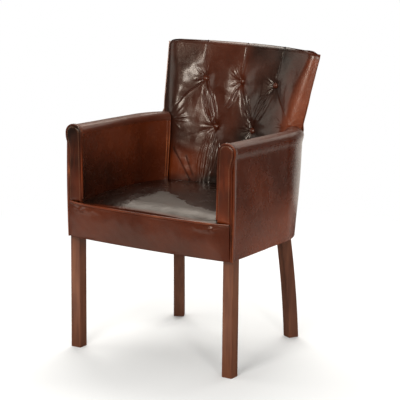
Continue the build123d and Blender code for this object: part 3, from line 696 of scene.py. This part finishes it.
def rays(x, z, centre, count, reach, height, seed, first=0.0, sweep=2 * math.pi):
    """Fine creases that spread from a point like spokes."""
    random = np.random.default_rng(seed)
    dx, dz = x - centre[0], z - centre[1]
    away = np.hypot(dx, dz)
    heading = np.arctan2(dz, dx)
    total = np.zeros(len(x))
    for spoke in range(count):
        angle = first + sweep * (spoke + random.uniform(-0.45, 0.45)) / count
        turned = np.angle(np.exp(1j * (heading - angle)))
        length = reach * random.uniform(0.4, 1.1)
        shape = bell(turned * away / (0.0016 + 0.05 * away)) * (np.abs(turned) < 1)
        total += shape * smooth((length - away) / (0.6 * length)) * random.uniform(0.25, 1)
    return height * total * smooth(away / 0.008)


fold_lines = (
    (upper_left, (-top_pleat_x, over_top), 0.0034, 0.0),
    (upper_middle, (0, over_top), 0.0040, 0.0),
    (upper_right, (top_pleat_x, over_top), 0.0044, 0.0),
    (upper_left, (-0.207, 0.690), -0.0046, 0.0),
    (upper_right, (0.207, 0.690), 0.0030, 0.5),
    (upper_left, lower_left, 0.0030, 0.2),
    (upper_middle, (-0.045, 0.700), -0.0040, 0.8),
    (upper_middle, lower_right, 0.0034, 0.1),
    (upper_right, (0.075, 0.690), -0.0036, 0.8),
    (lower_left, (-0.052, 0.475), 0.0026, 0.5),
    (lower_right, (0.052, 0.475), 0.0026, 0.5),
    (lower_left, (-0.150, 0.600), -0.0016, 0.9),
    (lower_right, (0.150, 0.600), 0.0016, 0.9),
)
slack_lines = (
    ((-0.187, 0.566), (-0.118, 0.470), -0.0007, 0.2),
    ((-0.142, 0.542), (-0.112, 0.488), -0.0005, 0.4),
)
gather_lines = (
    (upper_left, lower_left, 7, 0.019, 0.0026),
    (upper_middle, lower_right, 6, 0.015, 0.0026),
    (upper_right, lower_right, 8, 0.021, 0.0013),
    (upper_middle, (-0.030, 0.690), 4, 0.009, 0.0014),
    (lower_left, (-0.072, 0.455), 8, 0.034, 0.0018),
    (lower_right, (0.050, 0.455), 6, 0.024, 0.0016),
    (upper_middle, (0.004, over_top), 3, 0.010, 0.0012),
)


def back_relief(x, z):
    warp = line_of(x, z, 0)
    x = x + 0.0030 * ripple(warp, 0.09, 41)
    z = z + 0.0030 * ripple(warp, 0.09, 42)
    nearest = np.full(len(x), 1.0)
    relief = np.zeros(len(x))
    for start, end, tuck, fade in fold_lines:
        distance, share = from_line(x, z, start, end)[:2]
        nearest = np.minimum(nearest, distance + 0.06 * fade * smooth(share))
    for line in fold_lines + slack_lines:
        relief += fold(x, z, *line)
    relief += 0.0075 * (1 - np.exp(-(nearest / 0.034)**1.4)) - 0.003
    for number, centre in enumerate(button_places.values()):
        away = np.hypot(x - centre[0], z - centre[1])
        relief -= 0.0105 * np.exp(-(away / 0.0150)**1.3)
        relief += rays(x, z, centre, 11, 0.052, 0.0021, 50 + number, 0.45 * math.pi, 1.2 * math.pi)
        relief += rays(x, z, centre, 9, 0.030, 0.0009, 55 + number)
    for seed, bundle in enumerate(gather_lines, 61):
        relief += gathers(x, z, *bundle, seed)
    relief += rays(x, z, (-0.205, 0.655), 9, 0.065, 0.0031, 71, -0.7, 2.1)
    relief += rays(x, z, (0.205, 0.665), 9, 0.075, 0.0015, 72, 1.2, 2.4)
    return relief + 0.0006 * ripple(warp, 0.03, 43) + 0.0009 * ripple(warp, 0.09, 44)


points = points_of(back)
x, height = points[:, ::2].T
on_ring = np.tile(np.arange(ring_length), len(rings))
past_front = np.minimum(on_ring, ring_length - on_ring) - front_columns
on_side = (past_front > 0) & (past_front < corner_columns + side_columns)
relief = back_relief(x, height)
top_line = np.zeros(len(points))
for pleat_x in (-top_pleat_x, 0, top_pleat_x):
    aside = x - pleat_x
    top_line += 0.0012 * np.tanh(aside / 0.0012) * np.exp(-np.abs(aside) / 0.010)
    top_line -= 0.0016 * bell(aside / 0.0025)
near_top = smooth((height - (back_top - 0.100)) / 0.078)
inset = front_edge_x(np.minimum(height, back_top)) - np.abs(x)
on_front = (1 - smooth(past_front / corner_columns)) * smooth((inset + 0.004) / 0.040)
wing = rays(np.abs(x), height, (0.212, 0.668), 8, 0.075, 0.0008, 73, 0.3, 1.9)
wing = (wing + 0.0002 * ripple(points, 0.05, 45)) * on_side
folded = relief * on_front * smooth((height - seat_tuck) / 0.03)
push(back, (folded + wing) * (1 - near_top) + top_line * near_top)

crest = smooth((relief - 0.0042) / 0.003)
# Tone and wear: the right wing is painted lighter and orange, as painted light, through both the tone
# and the wear, less so at its top corner. The left wing, the middle right, the low middle, the left
# quarter and the foot by the seat are painted darker, as painted shade. The lower left is painted
# lighter and a little rubbed; the fold crests are rubbed.
wing_share = smooth((past_front + 4) / corner_columns)
right_side = smooth((x - 0.1) / 0.1)
lit_right_wing = wing_share * right_side
shaded_right_middle = window(x, -0.01, 0.19, 0.05) * smooth((height - 0.56) / 0.08)
low_left = smooth((0.60 - height) / 0.08) * smooth((-0.080 - x) / 0.045)
shaded_low_middle = smooth((0.66 - height) / 0.08) * smooth((x + 0.085) / 0.03)
top_corner = smooth((height - back_top + 0.030) / 0.015)
tone = 0.36 + 0.10 * ripple(points, 0.15, 46) - 0.26 * shaded_right_middle + 0.40 * low_left
tone = tone + 0.55 * lit_right_wing - 0.1 * wing_share * (1 - right_side) - 0.45 * top_corner * lit_right_wing
tone = tone - 0.26 * shaded_low_middle * on_front - 0.13 * smooth((-0.12 - x) / 0.06) * (1 - low_left)
tone = tone - 0.40 * smooth((0.500 - height) / 0.035)
# The two slack creases are also painted darker in the tone, as painted shade in the creases.
for start, end, tuck, fade in slack_lines:
    tone = tone - 0.38 * bell(from_line(x, height, start, end)[0] / 0.0035)
wear = 0.10 * crest * on_front + 0.28 * lit_right_wing * (1 - top_corner) + 0.15 * low_left
paint(back, tone=tone, wear=wear, dull=smooth((height - back_top + 0.010) / 0.006))
tidy_mesh(back)
print("relief from", round(relief.min() * 1000, 1), "to", round(relief.max() * 1000, 1), "mm")

# %% [markdown]
# The rails and posts of the back stand inside the hide, so the piece is hollow. A plain block with
# the shape of that hollow is cut out of it; nothing of the cut shows from outside.

# %% Hollow for the frame
wrap = curve_through(0.014, 0.020, 0.022)
frame_depth = curve_through(0.022, 0.020, 0.012)
strap = 0.002
top_wrap = 0.011


def hollow_ring(height):
    depth = skin + gap + frame_depth(height) + strap + gap
    edge_x, edge_y = rear_corner(height, depth)
    side = edge_x - wrap(height)
    x = np.linspace(-side, side, 25)
    front = line_of(x, arc_y(x, edge_x, edge_y, rear_centre(height) - depth), height)
    return join(front, line_of([side, -side], rear_centre(height) + 0.05, height))


hollow_heights = np.linspace(seat_tuck - 0.01, back_top - top_wrap, 24)
hollow = piece_from_rows("back_hollow", [hollow_ring(z) for z in hollow_heights])
tidy_mesh(hollow)
cut = back.modifiers.new("frame_hollow", "BOOLEAN")
cut.operation = "DIFFERENCE"
cut.solver = "EXACT"
cut.object = hollow
choose(back)
bpy.ops.object.modifier_apply(modifier=cut.name)
bpy.data.objects.remove(hollow)
settle(back, ["inside_back"])

# %% [markdown]
# ## Buttons
# Each button is a dome covered with the same hide. It is a flattened ball, lightly gathered round
# its edge, whose lower half is cut away. It is set square to the leather at its own place.

# %% Buttons
button_radius = 0.0095
button_flatness = 0.62
button_sink = 0.0097


def front_point(x, height):
    return Vector((x, float(front_arc(x, height)), height))


def front_normal(x, height):
    step = button_radius
    across = front_point(x + step, height) - front_point(x - step, height)
    up = front_point(x, height + step) - front_point(x, height - step)
    return across.cross(up).normalized()


for name, (x, height) in button_places.items():
    bpy.ops.object.select_all(action="DESELECT")
    bpy.ops.mesh.primitive_uv_sphere_add(segments=36, ring_count=20, radius=button_radius)
    button = bpy.context.object
    button.name = f"button_{name}_leather"
    bpy.ops.object.mode_set(mode="EDIT")
    bpy.ops.mesh.select_all(action="SELECT")
    bpy.ops.transform.resize(value=(1, 1, button_flatness))
    bpy.ops.mesh.bisect(
        plane_co=(0, 0, -0.001), plane_no=(0, 0, 1), clear_inner=True, use_fill=True)
    bpy.ops.object.mode_set(mode="OBJECT")
    shape = points_of(button)
    around = np.arctan2(shape[:, 1], shape[:, 0])
    out = np.hypot(shape[:, 0], shape[:, 1]) / button_radius
    shape[:, :2] *= (1 + 0.018 * np.cos(11 * around) * out**3)[:, None]
    move_points(button, shape)
    normal = front_normal(x, height)
    place = Matrix.Translation(front_point(x, height) - normal * button_sink)
    button.data.transform(place @ normal.to_track_quat("Z", "Y").to_matrix().to_4x4())
    complete(button, [f"button_{name}"], fill=1.0, slot="leather_button",
             tone=np.full(len(shape), 0.45), wear=0.25 * (1 - out))

# %% [markdown]
# ## Outside back
# The rear of the chair is closed with one flat hide, tacked under the hem and blind stitched up
# the sides. It is a curved strip with two faces. At the sides it runs out to meet the arms.

# %% Outside back
panel_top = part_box("outside_back")[1][2]
panel_columns = 70
panel_at_hem = (0.227, 0.182, 0.251)
arm_end_y = 0.1775


def panel_arc(height, inset):
    low = max(0, (seat_tuck - height) / (seat_tuck - hem_height))
    edge_x, edge_y, centre = (
        curve(max(height, seat_tuck)) * (1 - low) + at_hem * low
        for curve, at_hem in zip((rear_edge_x, rear_edge_y, rear_centre), panel_at_hem))
    arm = wall_outside(height, 1.0) - bend_centre[0]
    arm_x = bend_centre[0] + math.sqrt(arm**2 - (arm_end_y - bend_centre[1])**2)
    beside_arm = 1 - smooth((height - arm_level + 0.012) / 0.022)
    low_flare = 0.008 * max(0, 1 - (height - hem_height) / 0.045)**1.4
    reach = edge_x + max(0, arm_x - edge_x) * beside_arm + low_flare
    x = np.linspace(-reach, reach, panel_columns)
    return x, arc_y(x, edge_x, edge_y, centre) - inset


rows = []
side_gap = 1 - np.abs(np.linspace(-1, 1, panel_columns))
for height in np.linspace(hem_height, panel_top, 150):
    rise = (height - hem_height) / (panel_top - hem_height)
    x, outer_y = panel_arc(height, 0.002 * (1 - window(rise, 0, 1, 0.02)))
    inner_x, inner_y = panel_arc(height, skin)
    outer_y = outer_y - 0.002 * (1 - smooth(side_gap / 0.03)) + 0.003 * smooth(side_gap / 0.5)
    rows.append(join(line_of(x, outer_y, height), line_of(inner_x, inner_y, height)[::-1]))
panel = piece_from_rows("rear_panel", rows)
points = points_of(panel)
is_outer = np.tile(np.arange(2 * panel_columns) < panel_columns, len(rows))
dents = 0.0006 * ripple(points, 0.08, 81) + 0.0003 * ripple(points, 0.03, 82)
push(panel, np.where(is_outer, dents, 0))
side_gap = np.tile(side_gap, 2 * len(rows))
wear = 0.6 * (1 - smooth(side_gap / 0.03)) + 0.5 * (1 - smooth((points[:, 2] - hem_height) / 0.01))
complete(panel, ["outside_back"], 0.9, tone=0.45 + 0.15 * ripple(points, 0.2, 83), wear=wear)

# %% [markdown]
# ## Seat
# The seat is stuffed and sewn down, so it is a low dome. Its front follows the bow of the border,
# its sides the arms and its rear the back. Near every edge it dives into its seam.

# %% Seat
seat_welt_radius = 0.0034
bow_y = -0.3012
bow_edge_x, bow_edge_y = 0.205, -0.2942
border_end_x = half_width - skin - 2 * gap
seat_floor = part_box("seat_top")[0][2]
seat_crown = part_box("seat_top")[1][2]
crown_radius = 2.6
crown_y = -0.095
seat_clearance = 0.0012
seat_rear_half = 0.19
seat_rear_height = 0.46
front_radius = 0.070
seam_width = 0.012
seam_depth = 0.006
seat_columns = 110


def bow(x):
    """Front line of the seat in plan: a shallow arc that turns back more steeply at its ends."""
    x = np.abs(np.asarray(x, float))
    radius = arc_radius(bow_edge_x, bow_edge_y - bow_y)
    shallow = bow_y + radius - np.sqrt(radius**2 - np.minimum(x, bow_edge_x)**2)
    slope = bow_edge_x / math.sqrt(radius**2 - bow_edge_x**2)
    beyond = np.maximum(x - bow_edge_x, 0)
    length = border_end_x - bow_edge_x
    bend = (facing_front - bow_edge_y - slope * length) / length**2
    return shallow + slope * beyond + bend * beyond**2


def seat_side(y):
    """Half width of the seat between the arms at one distance back."""
    back = np.maximum(y - bend_centre[1], 0)
    inner = inner_low - inner_narrowing * smooth(back / 0.14) - bend_centre[0]
    curved = bend_centre[0] + np.sqrt(np.maximum(inner**2 - back**2, 0))
    return np.where(y > bend_centre[1], curved, inner_low) - seat_clearance


def dive_at(distance):
    return 1 - np.sqrt(1 - (1 - np.clip(distance / seam_width, 0, 1))**2)


u = np.linspace(-1, 1, seat_columns)
v = join(np.linspace(0, 0.06, 16, endpoint=False), np.linspace(0.06, 1, 134))
back_y = front_arc(u * seat_rear_half, seat_rear_height) - seat_clearance
rows = []
for share in v:
    y = bow(u * inner_low) + seat_welt_radius + gap
    y = y + (back_y - y) * share
    x = u * seat_side(y)
    dome = seat_crown + 0.002 - (x**2 + (y - crown_y)**2) / (2 * crown_radius)
    dome = dome + 0.004 * np.cos(np.clip(x / 0.24, -1, 1) * math.pi / 2) * (1 - share)
    dive = 0.0155 * np.clip(1 - (y - bow(x)) / front_radius, 0, 1)**2.1
    dive = dive + seam_depth * (dive_at((1 - np.abs(u)) * inner_low) + dive_at((1 - share) * 0.42))
    top = line_of(x, y, np.maximum(dome - dive, seat_floor + 0.0016))
    rows.append(join(top, line_of(x[::-1][::10], y[::-1][::10], seat_floor)))
seat = piece_from_rows("seat_leather", rows)
points = points_of(seat)
x, y = points[:, :2].T
ring = len(rows[0])
on_top = np.tile(np.arange(ring) < seat_columns, len(rows))
row_v = np.repeat(v, ring)
across_u = np.tile(np.abs(join(u, u[::-1][::10])), len(rows))
dents = 0.0011 * ripple(points, 0.16, 91) + 0.0004 * ripple(points, 0.06, 92)
dents = dents + 0.0002 * ripple(points, 0.02, 93)
push(seat, np.where(on_top, dents * smooth(row_v / 0.06) * smooth((1 - across_u) / 0.04), 0))
tone = -0.12 + 0.05 * ripple(points, 0.12, 94) + 0.5 * (1 - smooth(row_v / 0.04))
drift = 0.007 * ripple(points, 0.04, 95) + 0.004 * ripple(points, 0.012, 96)
sat_on = smooth((x + 0.095 + drift) / 0.06) * smooth((-0.095 + drift - 0.7 * (x + 0.03) - y) / 0.045)
front_strip = smooth((-0.195 + drift - y) / 0.03) * smooth((x - 0.02) / 0.06)
complete(seat, ["seat_top"], 0.75, seat_hide, tone=tone,
         wear=0.2 * (1 - smooth(row_v / 0.02)), dull=np.maximum(sat_on, 0.9 * front_strip))

# %% [markdown]
# ## Front border
# The border is a padded band under the seat, bowed in plan and drawn in towards the hem. Its
# outline is drawn as a ring across the band and carried along the bow from arm to arm. The band
# stands upright where it meets the arm fronts and leans in between them.

# %% Front border
border_top = 0.455
border_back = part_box("seat_front_border")[1][1]
border_step_height = 0.4375
behind_facing = facing_front - 0.0005
draft = 0.009
border_puff = 0.0035
face_count = 46
rows = []
for x in np.linspace(-border_end_x, border_end_x, 170):
    front = float(bow(x))
    lean = draft * float(smooth((border_end_x - abs(x)) / 0.07))
    z = np.linspace(border_top - 0.004, hem_height + 0.004, face_count)
    down = (border_top - z) / (border_top - hem_height)
    y = front + lean * down - border_puff * np.sin(np.pi * down)**0.7
    ring = [(front + 0.0045, border_top - 0.0006), (front + 0.0012, border_top - 0.0015)]
    ring += list(zip(y, z))
    ring += [(y[-1] + 0.001, hem_height + 0.0014), (y[-1] + 0.004, hem_height)]
    ring += [(border_back, hem_height), (border_back, border_step_height)]
    ring += [(behind_facing, border_step_height), (behind_facing, border_top - 0.0006)]
    rows.append([(x, ring_y, ring_z) for ring_y, ring_z in ring])
border = piece_from_rows("border_leather", rows)
points = points_of(border)
x, height = points[:, ::2].T
place_on_ring = np.tile(np.arange(len(ring)), len(rows))
on_face = (place_on_ring > 3) & (place_on_ring < face_count)
puff = 0.0010 * ripple(points, 0.12, 101) + 0.0005 * ripple(points, 0.04, 102)
roll = 0.0042 * bell((height - border_top + 0.016) / 0.0075) * bell((np.abs(x) - 0.215) / 0.035)
roll = roll * (1 + 0.6 * ripple(points, 0.014, 104))
push(border, np.where(on_face, puff + roll, 0))
low = 1 - smooth((height - hem_height) / 0.012)
complete(border, ["seat_front_border"], 0.9, tone=0.46 + 0.06 * ripple(points, 0.15, 103),
         wear=0.25 * low + 0.2 * smooth((height - border_top + 0.012) / 0.01))

# %% [markdown]
# ## Welts
# A welt is a cord sewn into a strip of hide. Its path is a line of points with a round section,
# and the hide puckers a little over the cord between stitches.

# %% Welts
welt_radius = 0.0026
welt_step = 0.0022
facing_foot = 0.460
facing_width = 0.043
facing_left = border_end_x - facing_width
roll_foot = arm_top - arm_roll_height
roll_left = wall_inside(roll_foot, 0) + welt_radius
roll_right = wall_outside(roll_foot, 0) + arm_overhang - welt_radius
welt_out = welt_radius + gap


def tube(name, path, radius):
    tangent = unit(np.gradient(path, axis=0))
    up = [0, 1, 0] if abs(tangent[0][1]) < 0.5 else [0, 0, 1]
    sideways = unit(np.cross(tangent, up))
    over = np.cross(sideways, tangent)
    angles = np.linspace(0, 2 * math.pi, 14, endpoint=False)[None, :, None]
    pucker = 1 + 0.035 * np.sin(np.arange(len(path)) * 1.9)
    section = np.cos(angles) * sideways[:, None] + np.sin(angles) * over[:, None]
    return piece_from_rows(name, path[:, None] + radius * pucker[:, None, None] * section)


def evenly(points, spacing):
    lengths = join([0], np.cumsum(np.linalg.norm(np.diff(points, axis=0), axis=1)))
    places = np.linspace(0, lengths[-1], int(lengths[-1] / spacing))
    return np.stack([np.interp(places, lengths, points[:, axis]) for axis in range(3)], axis=-1)


def facing_outline(grow, right_foot, left_foot):
    """Edge of the arm's front from the outer foot, over the roll and down the inside."""
    up = np.linspace(right_foot, roll_foot, 80, endpoint=False)
    right_x = border_end_x + (roll_right - border_end_x) * smooth((up - roll_foot + 0.05) / 0.045)
    angle = np.linspace(0, math.pi, 50, endpoint=False)
    over_x = (roll_left + roll_right) / 2 + ((roll_right - roll_left) / 2 + grow) * np.cos(angle)
    over_z = roll_foot + (arm_roll_height - welt_radius + grow) * np.sin(angle)
    down = np.linspace(roll_foot, left_foot, 60)
    fall = (roll_foot - down) / (roll_foot - facing_foot)
    left_x = roll_left + (facing_left - roll_left) * fall - grow
    return join(right_x + grow, over_x, left_x), join(up, over_z, down)


def make_welt(name, nodes, path, radius, tone, spread, wear, wear_size, seed):
    welt = tube(name, path, radius)
    points = points_of(welt)
    complete(welt, nodes, slot="leather_welt", tone=tone + spread * ripple(points, 0.1, seed),
             wear=wear + 0.2 * ripple(points, wear_size, seed + 1))


for side, sign in sides:
    x, z = facing_outline(welt_out, hem_height, facing_foot + 2 * welt_out)
    path = evenly(line_of(sign * x, facing_front + welt_radius - gap, z), welt_step)
    make_welt(f"arm_welt_{side}", [f"facing_welt_{side}"], path, welt_radius,
              0.55, 0.2, 0.18, 0.05, 111)
x = np.linspace(-border_end_x + welt_radius, border_end_x - welt_radius, 400)
path = evenly(line_of(x, bow(x), border_top), welt_step)
make_welt("seat_welt_leather", ["seat_welt"], path, seat_welt_radius, 0.62, 0.1, 0.24, 0.06, 113)

# %% [markdown]
# ## Arm fronts
# The front of each arm is a padded board covered with its own piece of hide. Its outline, drawn
# again and again a little smaller and a little further forward, gives the low cushion.

# %% Arm fronts
insets = (0, 0, 0.0006, 0.0016, 0.003, 0.005, 0.0075, 0.0105, 0.0135, 0.016)
forward = (0, 0.0016, 0.0028, 0.0038, 0.0046, 0.0052, 0.0057, 0.0060, 0.0062, 0.0063)
cushion_back = facing_front + 0.0028
cushion_foot = facing_foot - 0.0035
for side, sign in sides:
    rows = []
    for inset, lift in zip(insets, forward):
        x, z = facing_outline(-inset, cushion_foot + inset, cushion_foot + inset)
        under = np.linspace(x[-1], x[0], 14)[1:-1]
        z = join(z, np.full(len(under), cushion_foot + inset))
        rows.append(line_of(sign * join(x, under), cushion_back - lift, z))
    front = piece_from_rows(f"arm_front_{side}", rows)
    points = points_of(front)
    height = points[:, 2]
    tone = 0.34 + 0.2 * ripple(points, 0.08, 121)
    tone = tone + 0.2 * smooth((0.6 - height) / 0.1) - 0.16 * smooth((height - 0.60) / 0.05)
    complete(front, [f"arm_facing_{side}"], 0.9, tone=tone,
             wear=0.1 + 0.15 * ripple(points, 0.03, 122))

# %% [markdown]
# ## Plain materials
# Thread, zinc and foam are a speckle in two shades. The dust cloth and the jute webbing are
# woven, so bands and fibres share the colour and the bump.

# %% Plain materials
def make_plain(name, dark, light, roughness, spread, noise=None, cells=None, stop=0.2,
               bands=None, relief=None, metal=None):
    stuff = Recipe(name)
    if cells:
        speck = stuff.node("TexVoronoi", {"Vector": stuff.place, "Scale": cells})
    else:
        speck = stuff.noise(*noise)
    shade, height = speck, speck
    if bands:
        sockets = {"Vector": stuff.place, "Scale": bands[0], "Distortion": bands[1]}
        strands = stuff.node("TexWave", sockets, wave_type="BANDS")
        shade, height = strands * 0.5 + speck * 0.5, strands + speck
    if relief:
        stuff.finish(Normal=stuff.bump(*relief, height))
    if metal:
        stuff.finish(Metallic=metal + speck * (1 - metal))
    base = stuff.ramp(shade, (stop, dark), (1 - stop, light))
    return stuff.finish(Base_Color=base, Roughness=roughness + speck * spread)


thread = make_plain("waxed_thread", (96, 58, 36), (150, 104, 70), 0.55, 0.1, (900.0, 2.0))
zinc = make_plain("zinc_steel", (120, 122, 124), (176, 178, 180), 0.35, 0.2, (500.0, 3.0), metal=0.9)
black_cloth = make_plain("black_cloth", (16, 16, 17), (44, 43, 42), 0.85, 0.1, (380.0, 3.0),
                         bands=(260.0, 0.0), relief=(0.4, 0.0005))
jute = make_plain("jute_webbing", (110, 82, 48), (178, 144, 96), 0.85, 0.1, (300.0, 4.0),
                  bands=(120.0, 1.5), relief=(0.5, 0.0008))
foam = make_plain("seat_foam", (186, 168, 120), (222, 208, 166), 0.8, 0.15, cells=600.0,
                  stop=0.1, relief=(0.5, 0.0006))
print("materials", len(bpy.data.materials))

# %% [markdown]
# ## Seams and stitches
# Two narrow rolled seams close the corner between each arm and the back. The arm fronts are
# topstitched inside their welts. A stitch is a short six-sided bar, half sunk into the hide.

# %% Seams and stitches
seam_radius = 0.0013
stitch_length = 0.0040
stitch_pitch = 0.0062
stitch_radius = 0.0006
stitch_inset = 0.0042
stitch_foot = facing_foot + 0.004
stitch_lift = 0.0049
seam_foot = 0.474
seam_offset = 0.0004
stitch_rings = ((-0.5, 0.4), (-0.3, 1), (0.3, 1), (0.5, 0.4))


def stitches(name, path):
    path = evenly(path, stitch_pitch)
    run = unit(np.gradient(path, axis=0))
    side = unit(np.cross(run, [0, 1, 0]))[:, None]
    angle = np.arange(6)[:, None] * math.pi / 3
    section = stitch_radius * (side * np.cos(angle) + np.array([0, -1, 0]) * np.sin(angle))
    rings = [(path + run * end * stitch_length)[:, None] + section * size for end, size in stitch_rings]
    faces = [face for bar in range(len(path)) for face in ring_faces(4, 6, 24 * bar)]
    bars = new_piece(name, np.stack(rings, axis=1).reshape(-1, 3), faces)
    complete(bars, [], None, thread, "twine")


for side, sign in sides:
    x, z = facing_outline(-stitch_inset, stitch_foot, stitch_foot)
    stitches(f"facing_stitches_{side}", line_of(sign * x, cushion_back - stitch_lift, z))
    for number, row in enumerate((-2, -5)):
        path = right_rings[row, roll_end:inner_end] * [sign, 1, 1]
        path = path - [sign * seam_offset, seam_offset, 0]
        make_welt(f"corner_seam_{side}_{number}", [], evenly(path[path[:, 2] > seam_foot], 0.002),
                  seam_radius, 0.8, 0.2, 0.65, 0.05, 131)

# %% [markdown]
# ## Under the seat
# A black cloth closes the underside. It is drawn tight over the frame and stapled, so it sags a
# little between its edges and puckers at each staple.

# %% Dust cloth
cloth_low, cloth_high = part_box("dust_cover")
cloth_thickness = cloth_high[2] - cloth_low[2]
cloth_length = cloth_high[1] - cloth_low[1]
front_half, rear_half = cloth_high[0], 0.168
rear_dip = 0.035
cloth_sag = 0.004
s = np.linspace(0, 1, 84)[:, None]
t = np.linspace(-1, 1, 90)
half = front_half + (rear_half - front_half) * smooth((s - 0.35) / 0.75)
pucker = 0.0005 * np.cos(t * 45) * np.exp(-np.minimum(s, 1 - s) / 0.05)
under = line_of(
    t * half,
    cloth_low[1] + cloth_length * s - rear_dip * s * t**2,
    cloth_low[2] - cloth_sag * np.sin(np.pi * s) * np.cos(np.pi * t / 2) + pucker)
cloth = piece_from_rows("dust_cloth", np.concatenate(
    [under, (under + [0, 0, cloth_thickness])[:, ::-1]], axis=1))
complete(cloth, ["dust_cover"], None, black_cloth, "black_cloth")

# %% [markdown]
# ## Legs and hidden pieces
# The legs, rails, webbing, foam, bolts and twine keep the solids' own shapes. Only their finish
# is added, so that they look right where the chair is opened up.

# %% Legs and hidden pieces
finishes = {
    "bolts": zinc, "leg_": stained_wood, "rail": plain_wood, "post": plain_wood,
    "block": plain_wood, "webbing": jute, "foam": foam, "ties": thread,
}
for name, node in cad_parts.items():
    for word, material in finishes.items():
        if word in name:
            cover(node, material)
            print(name, material.name)
            break

# %% [markdown]
# ## Floor, lights and background
# The floor is plain and pale. Further out it glows white for the camera alone, so that it runs
# into the background without a line. A large soft lamp high behind the chair draws the highlights
# in the wax, smaller ones light the front and the sides, and two low cards and the room do the rest.

# %% Floor and lights
floor_radius = 30
fade_start, fade_end = 0.7, 1.9
lamp_white = (1.0, 0.93, 0.84)
room_white = (1, 0.95, 0.88)
bpy.ops.object.select_all(action="DESELECT")
bpy.ops.mesh.primitive_circle_add(vertices=96, radius=floor_radius, fill_type="NGON")
floor = bpy.context.object
floor.name = "floor"
ground = Recipe("pale_floor")
ground.finish(Base_Color=(0.86, 0.91, 0.97), Roughness=0.9)
away = ground.node("VectorMath", {0: ground.place}, "Value", operation="LENGTH")
lit = Signal(ground, ground.tree.nodes["Principled BSDF"].outputs[0])
mirrored = ground.node("BsdfDiffuse", {"Color": (0.045, 0.045, 0.045)})
near = ground.either(ground.ray("Glossy"), lit, mirrored)
white = ground.shader("Emission", (1, 1, 1), 1)
far_away = away.between(fade_start, fade_end)
surface = ground.either(far_away * ground.ray("Camera"), near, white)
ground.feed(ground.tree.nodes["Material Output"], {"Surface": surface})
floor.data.materials.append(ground.owner)


def softbox(name, place, width, height, power, aim=(0, 0, 0.6)):
    lamp = bpy.data.lights.new(name, "AREA")
    lamp.shape = "RECTANGLE"
    lamp.size = width
    lamp.size_y = height
    lamp.energy = power
    lamp.color = lamp_white
    holder = bpy.data.objects.new(name, lamp)
    scene.collection.objects.link(holder)
    holder.location = place
    holder.rotation_euler = (Vector(aim) - Vector(place)).to_track_quat("-Z", "Y").to_euler()
    holder.visible_camera = False


def around(turn_degrees, rise_degrees, distance):
    """A place by compass: 0 is straight in front of the chair, 90 to its right-hand side."""
    turn, rise = math.radians(turn_degrees), math.radians(rise_degrees)
    level = distance * math.cos(rise)
    return level * math.sin(turn), -level * math.cos(turn), 0.6 + distance * math.sin(rise)


softbox("front_softbox", around(10, 34, 3.2), 0.9, 0.7, 41)
softbox("camera_side_softbox", around(50, 26, 3.6), 0.4, 1.2, 22)
softbox("left_softbox", around(-68, 20, 3.4), 1.8, 1.8, 12)
softbox("rear_softbox", around(-146, 50, 3.2), 2.4, 1.6, 80, aim=(0, 0, 0.5))
softbox("backdrop", around(177, -8, 1.9), 1.5, 1.1, 5, aim=(0, 0, 0.5))
softbox("pale_wall", around(168, 30, 2.8), 1.8, 0.8, 10)
softbox("floor_card", (-0.80, -0.85, 0.02), 1.9, 0.8, 2.7, aim=(-0.80, -0.84, 1))
softbox("rear_floor_card", (0.75, 1.10, 0.02), 0.6, 0.9, 0.8, aim=(0.75, 1.11, 1))

studio = Recipe("studio", "worlds")
scene.world = studio.owner
room = studio.shader("Background", room_white, 0.62)
dim = studio.shader("Background", room_white, 0.035)
backdrop = studio.shader("Background", (1, 1, 1), 1)
seen = studio.either(studio.ray("Camera"), studio.either(studio.ray("Glossy"), room, dim), backdrop)
studio.feed(studio.tree.nodes["World Output"], {"Surface": seen})
scene.view_settings.view_transform = "Standard"
print("lamps", len(bpy.data.lights))
